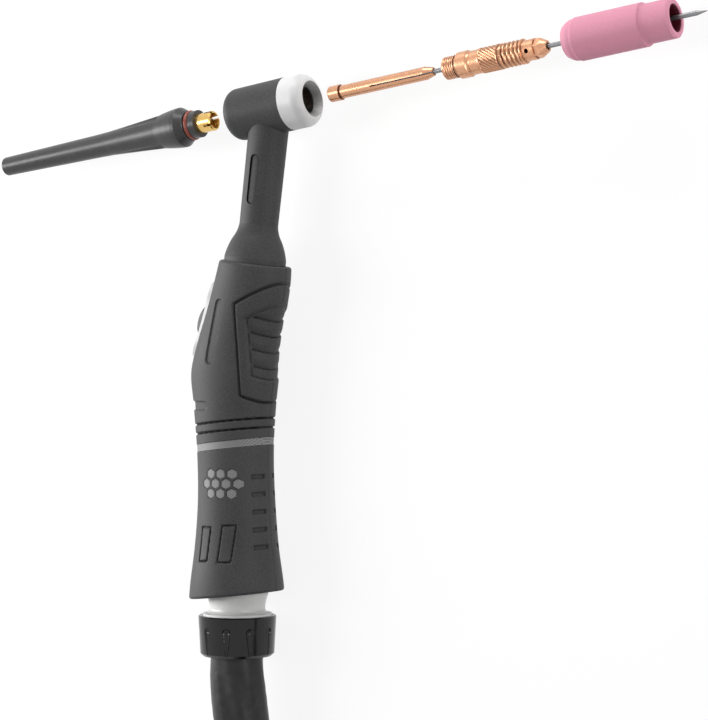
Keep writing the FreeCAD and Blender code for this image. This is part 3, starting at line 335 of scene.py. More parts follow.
# Holes for the screws and the trigger
SCREWS = [(-7.2, -130.0), (-7.6, -168.0), (-31.0, -121.0), (-29.2, -172.0)]
SCREW_HOLE = 2.6
SCREW_SEAT = 7.5
TRIGGER_BACK = (-31.99, -91.0)
TRIGGER_SLOPE = 20.5
TRIGGER_FRAME = (36.1, 19.1)
TRIGGER_POCKET = 9.0
FAR = 30.0                # past every face of the grip
# Creases: width and depth. Hollows: depth, and width of their sloped wall
RING_LINE = (1.4, 0.9)
PANEL_LINE = (1.9, 1.0)
PAD_LINE = (1.3, 0.7)
SLOT_HOLLOW = (0.7, 0.4)
DASH_HOLLOW = (0.8, 0.4)
# Slanting grooves, band and honeycomb
RING_GROOVES = (-135.2, -139.2)
RING_SLANT = 5.9
BAND_HEIGHT = -145.3
BAND_WIDTH = 3.1
BAND_SLANT = 6.5
BAND_SINK = 0.15
BAND_ROOM = 0.1
INLAY_DEPTH = 1.0
INLAY_WALL = 0.25
INLAY_CENTRE = (-15.5, -161.5)
INLAY_CELL = 2.1
INLAY_PITCH = 4.9
INLAY_ROWS = ((1, 3), (0, 4), (-1, 3))
CELL_ROOM = 0.12
# Slot and tab: their ends and their width
NAME_SLOT = ((-16.2, -82.2), (-21.6, -110.4), 4.9)
TAB = ((-60.0, -128.2), (-22.3, -128.2), 4.2)
# Side panel with its sunk field and ribs
PANEL_OUTER = [(30.0, -63.1), (-8.6, -84.6), (-7.3, -123.9), (-0.9, -126.8), (30.0, -126.8)]
PANEL_INNER = [(30.0, -69.0), (-4.8, -90.2), (-4.2, -116.2), (0.9, -118.4), (30.0, -118.4)]
PANEL_SUNK = 0.7
PANEL_WALL = 1.3
PANEL_FOOT = (1.0, 0.3)
RIBS = [-88.9 - 7.2 * index for index in range(4)]
RIB_FALL = 0.38
RIB_HEIGHT = 0.9
RIB_RUN = 3.6
RIB_BEND = 1.6
RIB_LEDGE = 0.45
RIB_LEFT = -4.3
RIB_FADE = (-2.6, -1.2)
# Pads, dashes and the seam between the shells
PADS = [
    [(-25.3, -180.2), (-19.4, -179.9), (-20.8, -195.0), (-26.2, -195.4)],
    [(-14.3, -179.1), (-8.0, -179.0), (-9.4, -195.3), (-15.8, -195.4)],
]
PAD_LINE_INSIDE = 0.3
DASHES = [-158.6 - 7.6 * index for index in range(5)]
DASH_ANGLES = (7.0, 33.0)
DASH_HALF = 1.15
DASH_SLOPE = 0.08
DASH_MIDDLE = -3.0
DASH_RADIUS = 17.0
SEAM_DEPTH = 0.35
SEAM_WIDTH = 0.5
SEAM_REACH = 16.0
# How fine the skins are, in rows, corners and steps, and how sharp an edge has to be to show
GRIP_ROWS = 430
GRIP_ANGLE = 40.0
SEAM_TURNS = [0.0, 0.002, 0.006, 0.011, 0.018]
SIDE_TURNS = (0.026, 176)
EDGE_STEPS = 6
SOCKET_STEPS = 8
INSIDE_ROWS = 12
BAND_CORNERS = 360
BAND_ROWS = (7, 3)
ARC_STEPS = 16
CIRCLE_CORNERS = 24
END_ROUNDS = 12
BAND_ROUNDS = 8


def grip_at(heights):
    """Centre, half width and half thickness of the grip at heights, as a smooth line through its sections."""
    stations = GRIP_SECTIONS[:, 0]
    found = []
    low = np.clip(np.searchsorted(stations, heights) - 1, 0, len(stations) - 2)
    span = stations[low + 1] - stations[low]
    share = (heights - stations[low]) / span
    for column in (1, 2, 3):
        values = GRIP_SECTIONS[:, column]
        slopes = np.gradient(values, stations)
        rise = (2 * share ** 3 - 3 * share ** 2 + 1) * values[low]
        rise += (3 * share ** 2 - 2 * share ** 3) * values[low + 1]
        rise += span * (share ** 3 - 2 * share ** 2 + share) * slopes[low]
        rise += span * (share ** 3 - share ** 2) * slopes[low + 1]
        found.append(rise)
    return found


def to_segment(x, y, start, end):
    """Distance from points to a straight stretch."""
    run_x, run_y = end[0] - start[0], end[1] - start[1]
    share = np.clip(((x - start[0]) * run_x + (y - start[1]) * run_y) / (run_x ** 2 + run_y ** 2), 0, 1)
    return np.hypot(x - start[0] - share * run_x, y - start[1] - share * run_y)


def to_outline(x, y, points):
    """Distance from points to a closed outline, below nought inside it."""
    nearest = np.full(x.shape, np.inf)
    inside = np.zeros(x.shape, bool)
    for start, end in zip(points, points[1:] + points[:1]):
        nearest = np.minimum(nearest, to_segment(x, y, start, end))
        if end[1] != start[1]:
            crosses = (start[1] > y) != (end[1] > y)
            inside ^= crosses & (x < (end[0] - start[0]) * (y - start[1]) / (end[1] - start[1]) + start[0])
    return np.where(inside, -nearest, nearest)


def crease(distance, width, depth):
    """Depth of a V-shaped line."""
    return depth * (1 - smooth_step(0.0, width / 2, np.abs(distance)))


def hollow(distance, depth, wall):
    """Depth of a flat recess, by the distance outside its outline."""
    return depth * (1 - smooth_step(-wall, 0.0, distance))


def inlay_recess(x, y, centre):
    """Depth of the recesses for the band and the honeycomb."""
    band = np.abs(y - BAND_HEIGHT - math.tan(math.radians(BAND_SLANT)) * (x - centre))
    depth = hollow(band - BAND_WIDTH / 2 - BAND_ROOM, INLAY_DEPTH, INLAY_WALL)
    for row, count in INLAY_ROWS:
        for index in range(count):
            cell_x = INLAY_CENTRE[0] + (index - (count - 1) / 2) * INLAY_PITCH
            cell_y = INLAY_CENTRE[1] + row * INLAY_PITCH * math.sin(math.radians(60))
            corners = [math.radians(60 * corner + 30) for corner in range(6)]
            cell = [(cell_x + INLAY_CELL * math.cos(corner), cell_y + INLAY_CELL * math.sin(corner))
                    for corner in corners]
            recess = hollow(to_outline(x, y, cell) - CELL_ROOM, INLAY_DEPTH, INLAY_WALL)
            depth = np.maximum(depth, recess)
    return depth


def panel_depth(x, y):
    """Depth of the side panel: its outer line, its sunk inner field and the ribs in it."""
    inner = to_outline(x, y, PANEL_INNER)
    sunk = PANEL_SUNK * (1 - smooth_step(-PANEL_WALL, 0.0, inner)) + crease(inner + PANEL_WALL, *PANEL_FOOT)
    ribs = np.zeros(x.shape)
    for height in RIBS:
        above = y - (height - RIB_FALL * (x - RIB_LEFT))
        slope = np.clip(1 - above / RIB_RUN, 0, 1) ** RIB_BEND
        ledge = np.where(above < -RIB_LEDGE, 0.0, 1 - smooth_step(-RIB_LEDGE, 0.0, -above - RIB_LEDGE))
        ribs = np.maximum(ribs, np.where(above >= 0, slope, ledge))
    sunk = sunk + RIB_HEIGHT * ribs * (1 - smooth_step(*RIB_FADE, inner))
    return np.maximum(crease(to_outline(x, y, PANEL_OUTER), *PANEL_LINE), sunk)


def mark_depth(x, y, turn):
    """How deep the moulded marks lie below the grip's plain form."""
    centre, _, half_z = grip_at(y)
    depth = np.maximum(inlay_recess(x, y, centre), panel_depth(x, y))
    for height in RING_GROOVES:
        line = height + math.tan(math.radians(RING_SLANT)) * (x - centre)
        depth = np.maximum(depth, crease(y - line, *RING_LINE))
    for start, end, width in (NAME_SLOT, TAB):
        run = np.array(end) - np.array(start)
        run = run / np.hypot(*run) * width / 2
        distance = to_segment(x, y, np.array(start) + run, np.array(end) - run) - width / 2
        depth = np.maximum(depth, hollow(distance, *SLOT_HOLLOW))
    for pad in PADS:
        depth = np.maximum(depth, crease(to_outline(x, y, pad) + PAD_LINE_INSIDE, *PAD_LINE))
    degrees = np.degrees(turn)
    beside = np.maximum(DASH_ANGLES[0] - degrees, degrees - DASH_ANGLES[1]) * math.radians(1) * DASH_RADIUS
    for height in DASHES:
        off = np.maximum(np.abs(y - height - DASH_SLOPE * (x - DASH_MIDDLE)) - DASH_HALF, beside)
        depth = np.maximum(depth, hollow(off, *DASH_HOLLOW))
    return np.maximum(depth, SEAM_DEPTH * (1 - smooth_step(0.0, SEAM_WIDTH, half_z * np.sin(turn))))


def plane_height(x, middle_x, middle_y, slant):
    """Height of a tilted plane over X."""
    return middle_y + math.tan(math.radians(slant)) * (x - middle_x)


def end_heights(turn, middle_x, middle_y, slant):
    """Where the grip's outer form meets a tilted plane, by angle."""
    height = np.full(turn.shape, middle_y)
    for _ in range(END_ROUNDS):
        centre, half_x, _ = grip_at(height)
        height = plane_height(centre + half_x * np.cos(turn), middle_x, middle_y, slant)
    return height


def grip_row(turn, height, inset):
    """One row of the grip's skin at a height, drawn in by an amount."""
    centre, half_x, half_z = grip_at(height)
    across = centre + (half_x - inset) * np.cos(turn)
    return np.stack([across, height, (half_z - inset) * np.sin(turn)], axis=-1)


def ball_row(turn, height, radius):
    """One round row about the ball's axis."""
    height = np.broadcast_to(height, turn.shape)
    return np.stack([BALL.x + radius * np.cos(turn), height, radius * np.sin(turn)], axis=-1)


def grip_surface(turn, top, low):
    """The outer face with its marks, as rows of points from top to bottom."""
    share = np.linspace(0.0, 1.0, GRIP_ROWS)[:, None]
    heights = (top - EDGE_ROUND) * (1 - share) + (low + EDGE_ROUND) * share
    turns = np.repeat(turn[None, :], GRIP_ROWS, axis=0)
    centre, half_x, half_z = grip_at(heights)
    x = centre + half_x * np.cos(turns)
    z = half_z * np.sin(turns)
    depth = mark_depth(x, heights, turns)
    normal_x = np.cos(turns) / half_x
    normal_z = np.sin(turns) / half_z
    size = np.hypot(normal_x, normal_z)
    return np.stack([x - depth * normal_x / size, heights, z - depth * normal_z / size], axis=-1)


def grip_rows(turn):
    """Rows of a shell's skin: down the outside, round the lip, into the ball's socket and up the inside."""
    top = end_heights(turn, NECK_AXIS.x * GRIP_TOP, NECK_AXIS.y * GRIP_TOP, -NECK_LEAN)
    low = end_heights(turn, BALL.x, RIM_HEIGHT, RIM_SLANT)
    seam_inset = SEAM_DEPTH * (1 - smooth_step(0.0, SEAM_WIDTH, SEAM_REACH * np.sin(turn)))
    rows = [grip_row(turn, top, inset) for inset in TOP_INSETS]
    bends = [math.pi / 2 * step / EDGE_STEPS for step in range(EDGE_STEPS)]
    for bend in bends:
        inset = EDGE_ROUND * (1 - math.sin(bend)) + seam_inset
        rows.append(grip_row(turn, top - EDGE_ROUND * (1 - math.cos(bend)), inset))
    rows.extend(grip_surface(turn, top, low))
    for bend in bends[::-1]:
        inset = EDGE_ROUND * (1 - math.sin(bend)) + seam_inset
        rows.append(grip_row(turn, low + EDGE_ROUND * (1 - math.cos(bend)), inset))
    lip_x = BALL.x + LIP_RADIUS * np.cos(turn)
    rows.append(ball_row(turn, plane_height(lip_x, BALL.x, RIM_HEIGHT, RIM_SLANT), LIP_RADIUS))
    rows.append(ball_row(turn, BALL.y + SOCKET_LOW, LIP_RADIUS))
    for step in range(SOCKET_STEPS + 1):
        lift = math.radians(SOCKET_ARC[0] + SOCKET_ARC[1] * step / SOCKET_STEPS)
        rows.append(ball_row(turn, BALL.y + SOCKET_RADIUS * math.sin(lift), SOCKET_RADIUS * math.cos(lift)))
    rows.append(ball_row(turn, CAVITY_END, PASSAGE_RADIUS))
    for height in np.linspace(CAVITY_END, INSIDE_TOP, INSIDE_ROWS):
        rows.append(grip_row(turn, np.full(turn.shape, height), GRIP_WALL))
    return np.array([np.broadcast_to(row, (len(turn), 3)) for row in rows])


def trigger_block():
    """Block that clears the pocket of the trigger's frame."""
    slope = math.radians(TRIGGER_SLOPE)
    upward = np.array([math.sin(slope), math.cos(slope), 0.0])
    outward = np.array([-math.cos(slope), math.sin(slope), 0.0])
    half_length, half_width = TRIGGER_FRAME[0] / 2, TRIGGER_FRAME[1] / 2
    corners = []
    for sign in (1, -1):
        for step in range(ARC_STEPS + 1):
            bend = math.radians(-90 + 180 * step / ARC_STEPS)
            corners.append((sign * (half_length - half_width + half_width * math.cos(bend)),
                            sign * half_width * math.sin(bend)))
    back = np.array([*TRIGGER_BACK, 0.0])
    return prism_block(corners, back, upward, np.array([0, 0, 1.0]), outward, -TRIGGER_POCKET, FAR)


def make_grip():
    """Both shells of the grip, from one skin with its moulded marks, mirrored in the middle plane."""
    near_seam = np.array(SEAM_TURNS)
    start, count = SIDE_TURNS
    turn = np.concatenate([near_seam, np.linspace(start, math.pi - start, count), math.pi - near_seam[::-1]])
    grid = grip_rows(turn)
    index = np.arange(grid.shape[0] * grid.shape[1]).reshape(grid.shape[:2])
    after = np.roll(index, -1, axis=0)
    around = [index[:, :-1], after[:, :-1], after[:, 1:], index[:, 1:]]
    faces = np.stack(around, axis=-1).reshape(-1, 4).tolist()
    faces.append(index[:, 0].tolist())
    faces.append(index[::-1, -1].tolist())
    x_axis, y_axis, downward = np.array([1.0, 0, 0]), np.array([0, 1.0, 0]), np.array([0, 0, -1.0])
    screw_holes = [prism_block(circle_corners(SCREW_HOLE), np.array([*spot, 0.0]), x_axis, y_axis, downward,
                               SCREW_SEAT, FAR) for spot in SCREWS]
    shells = []
    for name, side, holes in (("grip_shell_left", 1, []), ("grip_shell_right", -1, screw_holes)):
        spots = grid.reshape(-1, 3) * np.array([1.0, 1.0, side]) + np.array([0.0, 0.0, SHELL_GAP * side])
        shell = mesh_object(name + "_skin", (spots + np.array(HEAD)) * MILLIMETRE, faces, GRIP_ANGLE)
        face_outwards(shell)
        cut_out(shell, [trigger_block()] + holes)
        shells.append(dress(shell, "rubber_dark", "torch", name))
    return shells


def make_band():
    """The grey band, laid in its groove round both shells."""
    turn = np.linspace(0.0, 2 * math.pi, BAND_CORNERS + 1)[:-1]
    front = [(BAND_SINK, step) for step in np.linspace(-0.5, 0.5, BAND_ROWS[0])]
    back = [(INLAY_DEPTH, step) for step in np.linspace(0.5, -0.5, BAND_ROWS[1])]
    rows = []
    for inset, step in front + back:
        height = np.full(turn.shape, BAND_HEIGHT)
        for _ in range(BAND_ROUNDS):
            _, half_x, _ = grip_at(height)
            lift = math.tan(math.radians(BAND_SLANT)) * half_x * np.cos(turn)
            height = BAND_HEIGHT + lift + step * BAND_WIDTH
        rows.append(grip_row(turn, height, inset))
    spots = (np.concatenate(rows) + np.array(HEAD)) * MILLIMETRE
    band = mesh_object("accent_band_skin", spots, ring_faces(len(rows), BAND_CORNERS), GRIP_ANGLE)
    face_outwards(band)
    return dress(band, "accent_grey", "torch", "accent_band")


def circle_corners(radius):
    """Corners of a fine polygon that stands for a circle."""
    turns = [2 * math.pi * step / CIRCLE_CORNERS for step in range(CIRCLE_CORNERS)]
    return [(radius * math.cos(turn), radius * math.sin(turn)) for turn in turns]


def prism_block(corners, origin, first, second, outward, low, high):
    """Points and faces of a block over an outline in a plane, between two depths."""
    vertices = []
    for depth in (low, high):
        vertices.extend(origin + a * first + b * second + depth * outward for a, b in corners)
    count = len(corners)
    faces = [tuple(range(count))[::-1], tuple(range(count, 2 * count))]
    for corner in range(count):
        ahead = (corner + 1) % count
        faces.append((corner, ahead, count + ahead, count + corner))
    return vertices, faces


def cut_out(piece, blocks):
    """Take closed blocks out of a piece for good."""
    vertices = []
    faces = []
    for spots, block_faces in blocks:
        first = len(vertices)
        vertices.extend((np.array(spots) + np.array(HEAD)) * MILLIMETRE)
        faces.extend(tuple(corner + first for corner in face) for face in block_faces)
    cutter = mesh_object("cutter", vertices, faces)
    face_outwards(cutter)
    modifier = piece.modifiers.new("cut", "BOOLEAN")
    modifier.operation = "DIFFERENCE"
    modifier.solver = "EXACT"
    modifier.object = cutter
    bpy.context.view_layer.update()
    evaluated = piece.evaluated_get(bpy.context.evaluated_depsgraph_get())
    piece.data = bpy.data.meshes.new_from_object(evaluated)
    piece.modifiers.clear()
    bpy.data.objects.remove(cutter)


# Collet body, from its rear end
BODY_REAR = 87.7
BODY_PROFILE = [
    (0.0, 3.1), (0.0, 4.35), (0.4, 4.75), (5.5, 4.75), (5.6, 4.4), (6.6, 4.4), (6.7, 5.15), (7.1, 5.55),
    (11.5, 5.55), (11.9, 5.0), (12.7, 4.75), (13.2, 5.0), (17.0, 5.0), (17.4, 5.3), (26.1, 5.3), (26.4, 4.75),
    (27.2, 4.7), (27.4, 5.2), (37.0, 5.2), (37.3, 4.35), (44.0, 4.35), (47.0, 2.7), (47.5, 2.4), (47.5, 1.6),
    (41.4, 1.6), (37.5, 3.1),
]
# Threads: start, end, pitch and depth. Knurl: start, end, count and depth. Flats: start and width across
REAR_THREAD = (0.5, 5.3, 1.05, 0.38)
NOZZLE_THREAD = (27.5, 36.8, 1.95, 0.8)
CREST_BEND = 0.8
KNURL = (17.6, 26.0, 20, 0.5)
KNURL_LEAN = 0.17
KNURL_FADE = 0.5
FLATS = (42.3, 7.3)
FLAT_TURN = 10.0
FLAT_LEAST_RADIUS = 2.8
OUTSIDE_RADIUS = 3.3
# Ports: place, radius, count and angle of the first
PORTS = (39.4, 1.0, 4, -12.0)
PORT_DEPTHS = (2.0, 8.0)
BODY_STEP = 0.14
BODY_CORNERS = 156
BODY_ANGLE = 50.0


def run_out(stations, low, high, length):
    """1 between two stations, with a smooth fade inside both ends."""
    return smooth_step(low, low + length, stations) * (1 - smooth_step(high - length, high, stations))


def body_shape(stations, angles, radii):
    """Threads, diagonal knurl and flats of the collet body."""
    outside = radii > OUTSIDE_RADIUS
    for low, high, pitch, depth in (REAR_THREAD, NOZZLE_THREAD):
        crest = (0.5 + 0.5 * np.cos(2 * np.pi * stations / pitch - angles)) ** CREST_BEND
        groove = depth * (1 - crest) * run_out(stations, low, high, pitch / 2)
        radii = radii - np.where(outside, groove, 0.0)
    low, high, count, depth = KNURL
    wave = 0.5 - 0.5 * np.cos(count * (angles - KNURL_LEAN * stations))
    radii = radii - np.where(outside, depth * wave * run_out(stations, low, high, KNURL_FADE), 0.0)
    flat = FLATS[1] / 2 / np.cos((angles + math.radians(FLAT_TURN)) % (math.pi / 3) - math.pi / 6)
    cut = (stations > FLATS[0]) & (radii > FLAT_LEAST_RADIUS)
    return np.where(cut, np.minimum(radii, flat), radii)


def make_collet_body():
    """Collet body with its threads, knurl, ports and flats."""
    profile = refined(BODY_PROFILE + [BODY_PROFILE[0]], BODY_STEP)[:-1]
    start = HEAD_AXIS * BODY_REAR
    piece = turned_skin("collet_body_turned", profile, start, body_shape, BODY_CORNERS, BODY_ANGLE)
    station, radius, count, first = PORTS
    across = np.array([0.0, 0.0, 1.0])
    sideways = np.array(HEAD_AXIS.cross(Vector((0, 0, 1))))
    blocks = []
    for index in range(count):
        turn = math.radians(-first + 360.0 * index / count)
        outward = across * math.cos(turn) + sideways * math.sin(turn)
        beside = np.cross(np.array(HEAD_AXIS), outward)
        blocks.append(prism_block(circle_corners(radius), np.array(start + HEAD_AXIS * station),
                                  np.array(HEAD_AXIS), beside, outward, *PORT_DEPTHS))
    cut_out(piece, blocks)
    return dress(piece, "copper", "collet_body", "collet_body")


# Grain: range of its ramps, the large clouds in it, and its share against theirs
GRAIN_RANGE = (0.3, 0.7)
CLOUD_SCALE = 40.0
CLOUD_DETAIL = 2.0
FINE_SHARE = 0.65
LEAST_ROUGHNESS = 0.02
# Painted crevice shade: range of openness over which a spot counts as a crevice and is painted darker
OPEN_RANGE = (0.5, 0.92)
CREVICE_SAMPLES = 8
# Dots: range of their ramp, turn of their rows, roughness, and strength and height of their relief
DOT_RANGE = (0.22, 0.42)
DOT_TURN = 39.0
DOT_ROUGHNESS = 0.6
DOT_RELIEF = (0.5, 0.0001)


def new_material(name, colour, roughness, metallic=0.0):
    """Material with a Principled shader, and its node tree's parts."""
    material = bpy.data.materials.new(name)
    material.use_nodes = True
    nodes = material.node_tree.nodes
    shader = nodes["Principled BSDF"]
    shader.inputs["Base Color"].default_value = (*colour, 1.0)
    shader.inputs["Roughness"].default_value = roughness
    shader.inputs["Metallic"].default_value = metallic
    return material, nodes, material.node_tree.links, shader


def noise(nodes, links, vector, scale, detail):
    """Noise over a vector."""
    texture = nodes.new("ShaderNodeTexNoise")
    texture.inputs["Scale"].default_value = scale
    texture.inputs["Detail"].default_value = detail
    links.new(vector, texture.inputs["Vector"])
    return texture.outputs["Fac"]


def two_tones(nodes, low, high, positions):
    """Ramp between two colours."""
    ramp = nodes.new("ShaderNodeValToRGB")
    for element, colour, position in zip(ramp.color_ramp.elements, (low, high), positions):
        element.position = position
        element.color = (*colour, 1.0)
    return ramp


def paint_crevice_shade(nodes, links, colour, reach, crevice_shade_colour):
    """Painted shade: the colour, turning to a dark shade colour where the piece's own faces close in on a
    spot.
    """
    hidden = nodes.new("ShaderNodeAmbientOcclusion")
    hidden.only_local = True
    hidden.samples = CREVICE_SAMPLES
    hidden.inputs["Distance"].default_value = reach
    open_share = nodes.new("ShaderNodeMapRange")
    open_share.inputs["From Min"].default_value = OPEN_RANGE[0]
    open_share.inputs["From Max"].default_value = OPEN_RANGE[1]
    links.new(hidden.outputs["AO"], open_share.inputs["Value"])
    blend = nodes.new("ShaderNodeMix")
    blend.data_type = "RGBA"
    colours = [socket for socket in blend.inputs if socket.type == "RGBA"]
    colours[0].default_value = (*crevice_shade_colour, 1.0)
    links.new(open_share.outputs["Result"], blend.inputs["Factor"])
    links.new(colour, colours[1])
    return [socket for socket in blend.outputs if socket.type == "RGBA"][0]


def grain(name, colour, roughness, metallic=0.0, scale=900.0, spread=0.12, bump=0.15, height=0.00005,
          rough_spread=0.08, stretch=(1, 1, 1), specular=None, detail=3.0, crevice_shade_reach=None, crevice_shade_colour=None):
    """Material whose colour, gloss and relief vary with a fine grain, with painted shade darkening its
    crevices where a reach is given.
    """
    material, nodes, links, shader = new_material(name, colour, roughness, metallic)
    where = nodes.new("ShaderNodeTexCoord").outputs["Object"]
    mapping = nodes.new("ShaderNodeMapping")
    mapping.inputs["Scale"].default_value = stretch
    links.new(where, mapping.inputs["Vector"])
    fine = noise(nodes, links, mapping.outputs["Vector"], scale, detail)
    cloudy = noise(nodes, links, where, CLOUD_SCALE, CLOUD_DETAIL)
    mixed = nodes.new("ShaderNodeMath")
    mixed.operation = "MULTIPLY_ADD"
    mixed.inputs[1].default_value = FINE_SHARE
    links.new(fine, mixed.inputs[0])
    slow = nodes.new("ShaderNodeMath")
    slow.operation = "MULTIPLY"
    slow.inputs[1].default_value = 1 - FINE_SHARE
    links.new(cloudy, slow.inputs[0])
    links.new(slow.outputs["Value"], mixed.inputs[2])
    darker = [channel * (1 - spread) for channel in colour]
    lighter = [min(1.0, channel * (1 + spread)) for channel in colour]
    ramp = two_tones(nodes, darker, lighter, GRAIN_RANGE)
    links.new(mixed.outputs["Value"], ramp.inputs["Fac"])
    tone = ramp.outputs["Color"]
    # Painted shade: the colour darkens where the piece's own faces close in, in creases, grooves, folds and
    # bores
    if crevice_shade_reach is not None:
        tone = paint_crevice_shade(nodes, links, tone, crevice_shade_reach, crevice_shade_colour)
    links.new(tone, shader.inputs["Base Color"])
    gloss = nodes.new("ShaderNodeMapRange")
    gloss.inputs["From Min"].default_value = GRAIN_RANGE[0]
    gloss.inputs["From Max"].default_value = GRAIN_RANGE[1]
    gloss.inputs["To Min"].default_value = max(LEAST_ROUGHNESS, roughness - rough_spread)
    gloss.inputs["To Max"].default_value = min(1.0, roughness + rough_spread)
    links.new(mixed.outputs["Value"], gloss.inputs["Value"])
    links.new(gloss.outputs["Result"], shader.inputs["Roughness"])
    add_relief(nodes, links, fine, bump, height, shader)
    if specular is not None:
        shader.inputs["Specular IOR Level"].default_value = specular
    return material


def add_relief(nodes, links, value, strength, height, shader):
    """Fine relief from a value."""
    relief = nodes.new("ShaderNodeBump")
    relief.inputs["Strength"].default_value = strength
    relief.inputs["Distance"].default_value = height
    links.new(value, relief.inputs["Height"])
    links.new(relief.outputs["Normal"], shader.inputs["Normal"])


def dotted(name, colour, dark, pitch):
    """Plastic with rows of fine dark dimples, seen from the sides of the grip."""
    material, nodes, links, shader = new_material(name, colour, DOT_ROUGHNESS)
    mapping = nodes.new("ShaderNodeMapping")
    mapping.inputs["Rotation"].default_value = (0.0, 0.0, math.radians(DOT_TURN))
    links.new(nodes.new("ShaderNodeTexCoord").outputs["Object"], mapping.inputs["Vector"])
    dots = nodes.new("ShaderNodeTexVoronoi")
    dots.voronoi_dimensions = "2D"
    dots.inputs["Scale"].default_value = 1.0 / pitch
    dots.inputs["Randomness"].default_value = 0.0
    links.new(mapping.outputs["Vector"], dots.inputs["Vector"])
    ramp = two_tones(nodes, dark, colour, DOT_RANGE)
    links.new(dots.outputs["Distance"], ramp.inputs["Fac"])
    links.new(ramp.outputs["Color"], shader.inputs["Base Color"])
    add_relief(nodes, links, dots.outputs["Distance"], *DOT_RELIEF, shader)
    return material


def make_materials():
    """Every finish, by the record's slot."""
    # Finishes given a crevice shade reach carry painted shade: threads, creases, folds and flutes are
    # darkened, and bores are painted dark
    return {
        "rubber_dark": grain("rubber_dark", (0.060, 0.060, 0.062), 0.55, scale=1500, spread=0.3, bump=0.5,
                             height=0.00012, specular=0.16, detail=2.0, crevice_shade_reach=0.0015,
                             crevice_shade_colour=(0.004, 0.004, 0.004)),
        "cap_black": grain("cap_black", (0.055, 0.055, 0.057), 0.34, scale=700, bump=0.06, specular=0.3),
        "ring_red": grain("ring_red", (0.28, 0.06, 0.035), 0.45, scale=900, spread=0.15),
        "brass": grain("brass", (0.80, 0.52, 0.17), 0.22, 0.85, scale=600, spread=0.1, stretch=(6, 1, 1),
                       bump=0.1, crevice_shade_reach=0.0015, crevice_shade_colour=(0.16, 0.07, 0.015)),
        "copper": grain("copper", (0.68, 0.35, 0.205), 0.28, 0.8, scale=700, spread=0.2, stretch=(6, 1, 1),
                        bump=0.12, crevice_shade_reach=0.0016, crevice_shade_colour=(0.05, 0.012, 0.005)),
        # Painted shade: the long reach paints the shield's bore near black
        "shield_white": grain("shield_white", (0.74, 0.74, 0.74), 0.4, scale=400, spread=0.03, bump=0.04,
                              crevice_shade_reach=0.022, crevice_shade_colour=(0.004, 0.004, 0.004)),
        # Painted shade: the long reach paints the nozzle's bore dark red
        "ceramic_pink": grain("ceramic_pink", (0.74, 0.31, 0.42), 0.62, scale=1400, spread=0.05, bump=0.12,
                              crevice_shade_reach=0.018, crevice_shade_colour=(0.08, 0.002, 0.01), specular=0.25),
        "tungsten": grain("tungsten", (0.24, 0.245, 0.25), 0.3, 0.85, scale=1500, spread=0.15,
                          stretch=(0.1, 1, 1)),
        "steel": grain("steel", (0.6, 0.61, 0.63), 0.3, 1.0, scale=900, spread=0.1),
        "white_plastic": grain("white_plastic", (0.74, 0.74, 0.73), 0.35, scale=500, spread=0.03, bump=0.03,
                               crevice_shade_reach=0.003, crevice_shade_colour=(0.25, 0.25, 0.25)),
        "trigger_dark": grain("trigger_dark", (0.06, 0.06, 0.063), 0.42, scale=900, spread=0.15, bump=0.1),
        "accent_grey": dotted("accent_grey", (0.25, 0.25, 0.255), (0.12, 0.12, 0.122), 0.00085),
        "nut_black": grain("nut_black", (0.006, 0.006, 0.007), 0.16, scale=300, spread=0.2, bump=0.02,
                           rough_spread=0.03, specular=0.35, crevice_shade_reach=0.0015, crevice_shade_colour=(0.001, 0.001, 0.001)),
        "sleeve_black": grain("sleeve_black", (0.028, 0.028, 0.029), 0.36, scale=260, spread=0.3, bump=0.3,
                              height=0.0003, specular=0.22, crevice_shade_reach=0.006, crevice_shade_colour=(0.003, 0.003, 0.003)),
        "inner_black": grain("inner_black", (0.03, 0.03, 0.03), 0.5, scale=800, spread=0.2),
        "wire_red": grain("wire_red", (0.4, 0.03, 0.03), 0.45, scale=800, spread=0.15),
        "connector_black": grain("connector_black", (0.035, 0.035, 0.037), 0.5, spread=0.25, bump=0.3),
    }


def paint_cad(finishes):
    """Give every node of the model its slot's finish."""
    for entry in frame["record"]["subparts"]:
        node = frame["nodes"][entry["node"]]
        node.data.materials.clear()
        node.data.materials.append(finishes[entry["material_slot"]])


# Stage: weak light from the world, and how much of the floor glows for the camera and in reflections
WORLD_LIGHT = 0.1
FLOOR_REACH = 3.0         # metres
FLOOR_COLOUR = (0.86, 0.86, 0.86)
FLOOR_ROUGHNESS = 0.9
FLOOR_GLOW = 1.08
FLOOR_GLOW_SHARE = 0.8


def light(name, spot, target, size, power):
    """Soft box at a point round the head, turned to a target."""
    data = bpy.data.lights.new(name, "AREA")
    data.shape = "RECTANGLE"
    data.size, data.size_y = size
    data.energy = power
    lamp = bpy.data.objects.new(name, data)
    lamp.location = place(spot)
    lamp.rotation_euler = (place(target) - lamp.location).to_track_quat("-Z", "Y").to_euler()
    bpy.context.scene.collection.objects.link(lamp)


def camera_rays(tree):
    """Value that is 1 for what the camera, gloss and glass show, and 0 for light on its way."""
    path = tree.nodes.new("ShaderNodeLightPath")
    seen = path.outputs["Is Camera Ray"]
    for ray in ("Is Glossy Ray", "Is Transmission Ray"):
        most = tree.nodes.new("ShaderNodeMath")
        most.operation = "MAXIMUM"
        tree.links.new(seen, most.inputs[0])
        tree.links.new(path.outputs[ray], most.inputs[1])
        seen = most.outputs["Value"]
    return seen


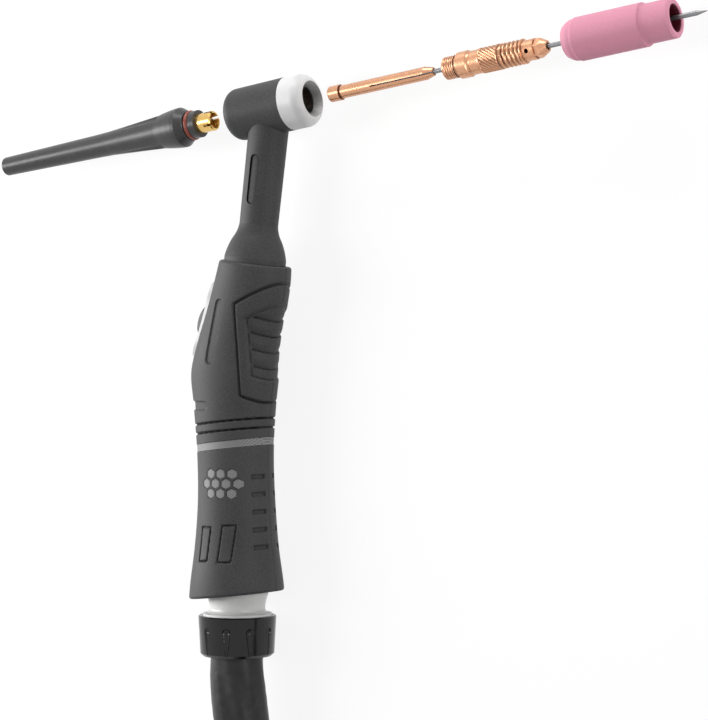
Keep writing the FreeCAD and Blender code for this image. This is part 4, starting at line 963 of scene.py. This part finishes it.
def make_world():
    """White to the eye, and a weak even light on the piece."""
    world = bpy.data.worlds.new("studio")
    world.use_nodes = True
    bpy.context.scene.world = world
    tree = world.node_tree
    background = tree.nodes["Background"]
    background.inputs["Color"].default_value = (1, 1, 1, 1)
    strength = tree.nodes.new("ShaderNodeMapRange")
    strength.inputs["To Min"].default_value = WORLD_LIGHT
    strength.inputs["To Max"].default_value = 1.0
    tree.links.new(camera_rays(tree), strength.inputs["Value"])
    tree.links.new(strength.outputs["Result"], background.inputs["Strength"])


def make_floor():
    """Pale floor that looks white and keeps the shadow."""
    corners = [(-FLOOR_REACH, -FLOOR_REACH, 0), (FLOOR_REACH, -FLOOR_REACH, 0),
               (FLOOR_REACH, FLOOR_REACH, 0), (-FLOOR_REACH, FLOOR_REACH, 0)]
    data = bpy.data.meshes.new("floor")
    data.from_pydata(corners, [], [(0, 1, 2, 3)])
    floor = bpy.data.objects.new("floor", data)
    bpy.context.scene.collection.objects.link(floor)
    material, nodes, links, shader = new_material("floor", FLOOR_COLOUR, FLOOR_ROUGHNESS)
    glow = nodes.new("ShaderNodeEmission")
    glow.inputs["Strength"].default_value = FLOOR_GLOW
    share = nodes.new("ShaderNodeMath")
    share.operation = "MULTIPLY"
    share.inputs[1].default_value = FLOOR_GLOW_SHARE
    mix = nodes.new("ShaderNodeMixShader")
    links.new(camera_rays(material.node_tree), share.inputs[0])
    links.new(share.outputs["Value"], mix.inputs["Fac"])
    links.new(shader.outputs["BSDF"], mix.inputs[1])
    links.new(glow.outputs["Emission"], mix.inputs[2])
    links.new(mix.outputs["Shader"], nodes["Material Output"].inputs["Surface"])
    floor.data.materials.append(material)


def make_lights():
    """Soft boxes: a strong one from the left, a low one from the right and one over the head."""
    light("key_left", (-900.0, -40.0, 500.0), (-10.0, -90.0, 0.0), (0.35, 1.2), 15.0)
    light("low_right", (850.0, -60.0, 130.0), (0.0, -90.0, 0.0), (0.25, 1.0), 4.6)
    light("top", (20.0, 950.0, 330.0), (40.0, 0.0, 0.0), (0.9, 0.3), 7.0)


make_camera()
hose = make_hose()
finishes = make_materials()
paint_cad(finishes)
hose.data.materials.append(finishes["sleeve_black"])
skins = [(piece, "rubber_dark") for piece in make_grip()]
skins += [(make_band(), "accent_grey"), (make_collet_body(), "copper")]
for piece, slot_name in skins:
    piece.data.materials.clear()
    piece.data.materials.append(finishes[slot_name])
make_world()
make_floor()
make_lights()

bpy.context.scene.view_settings.view_transform = "Standard"
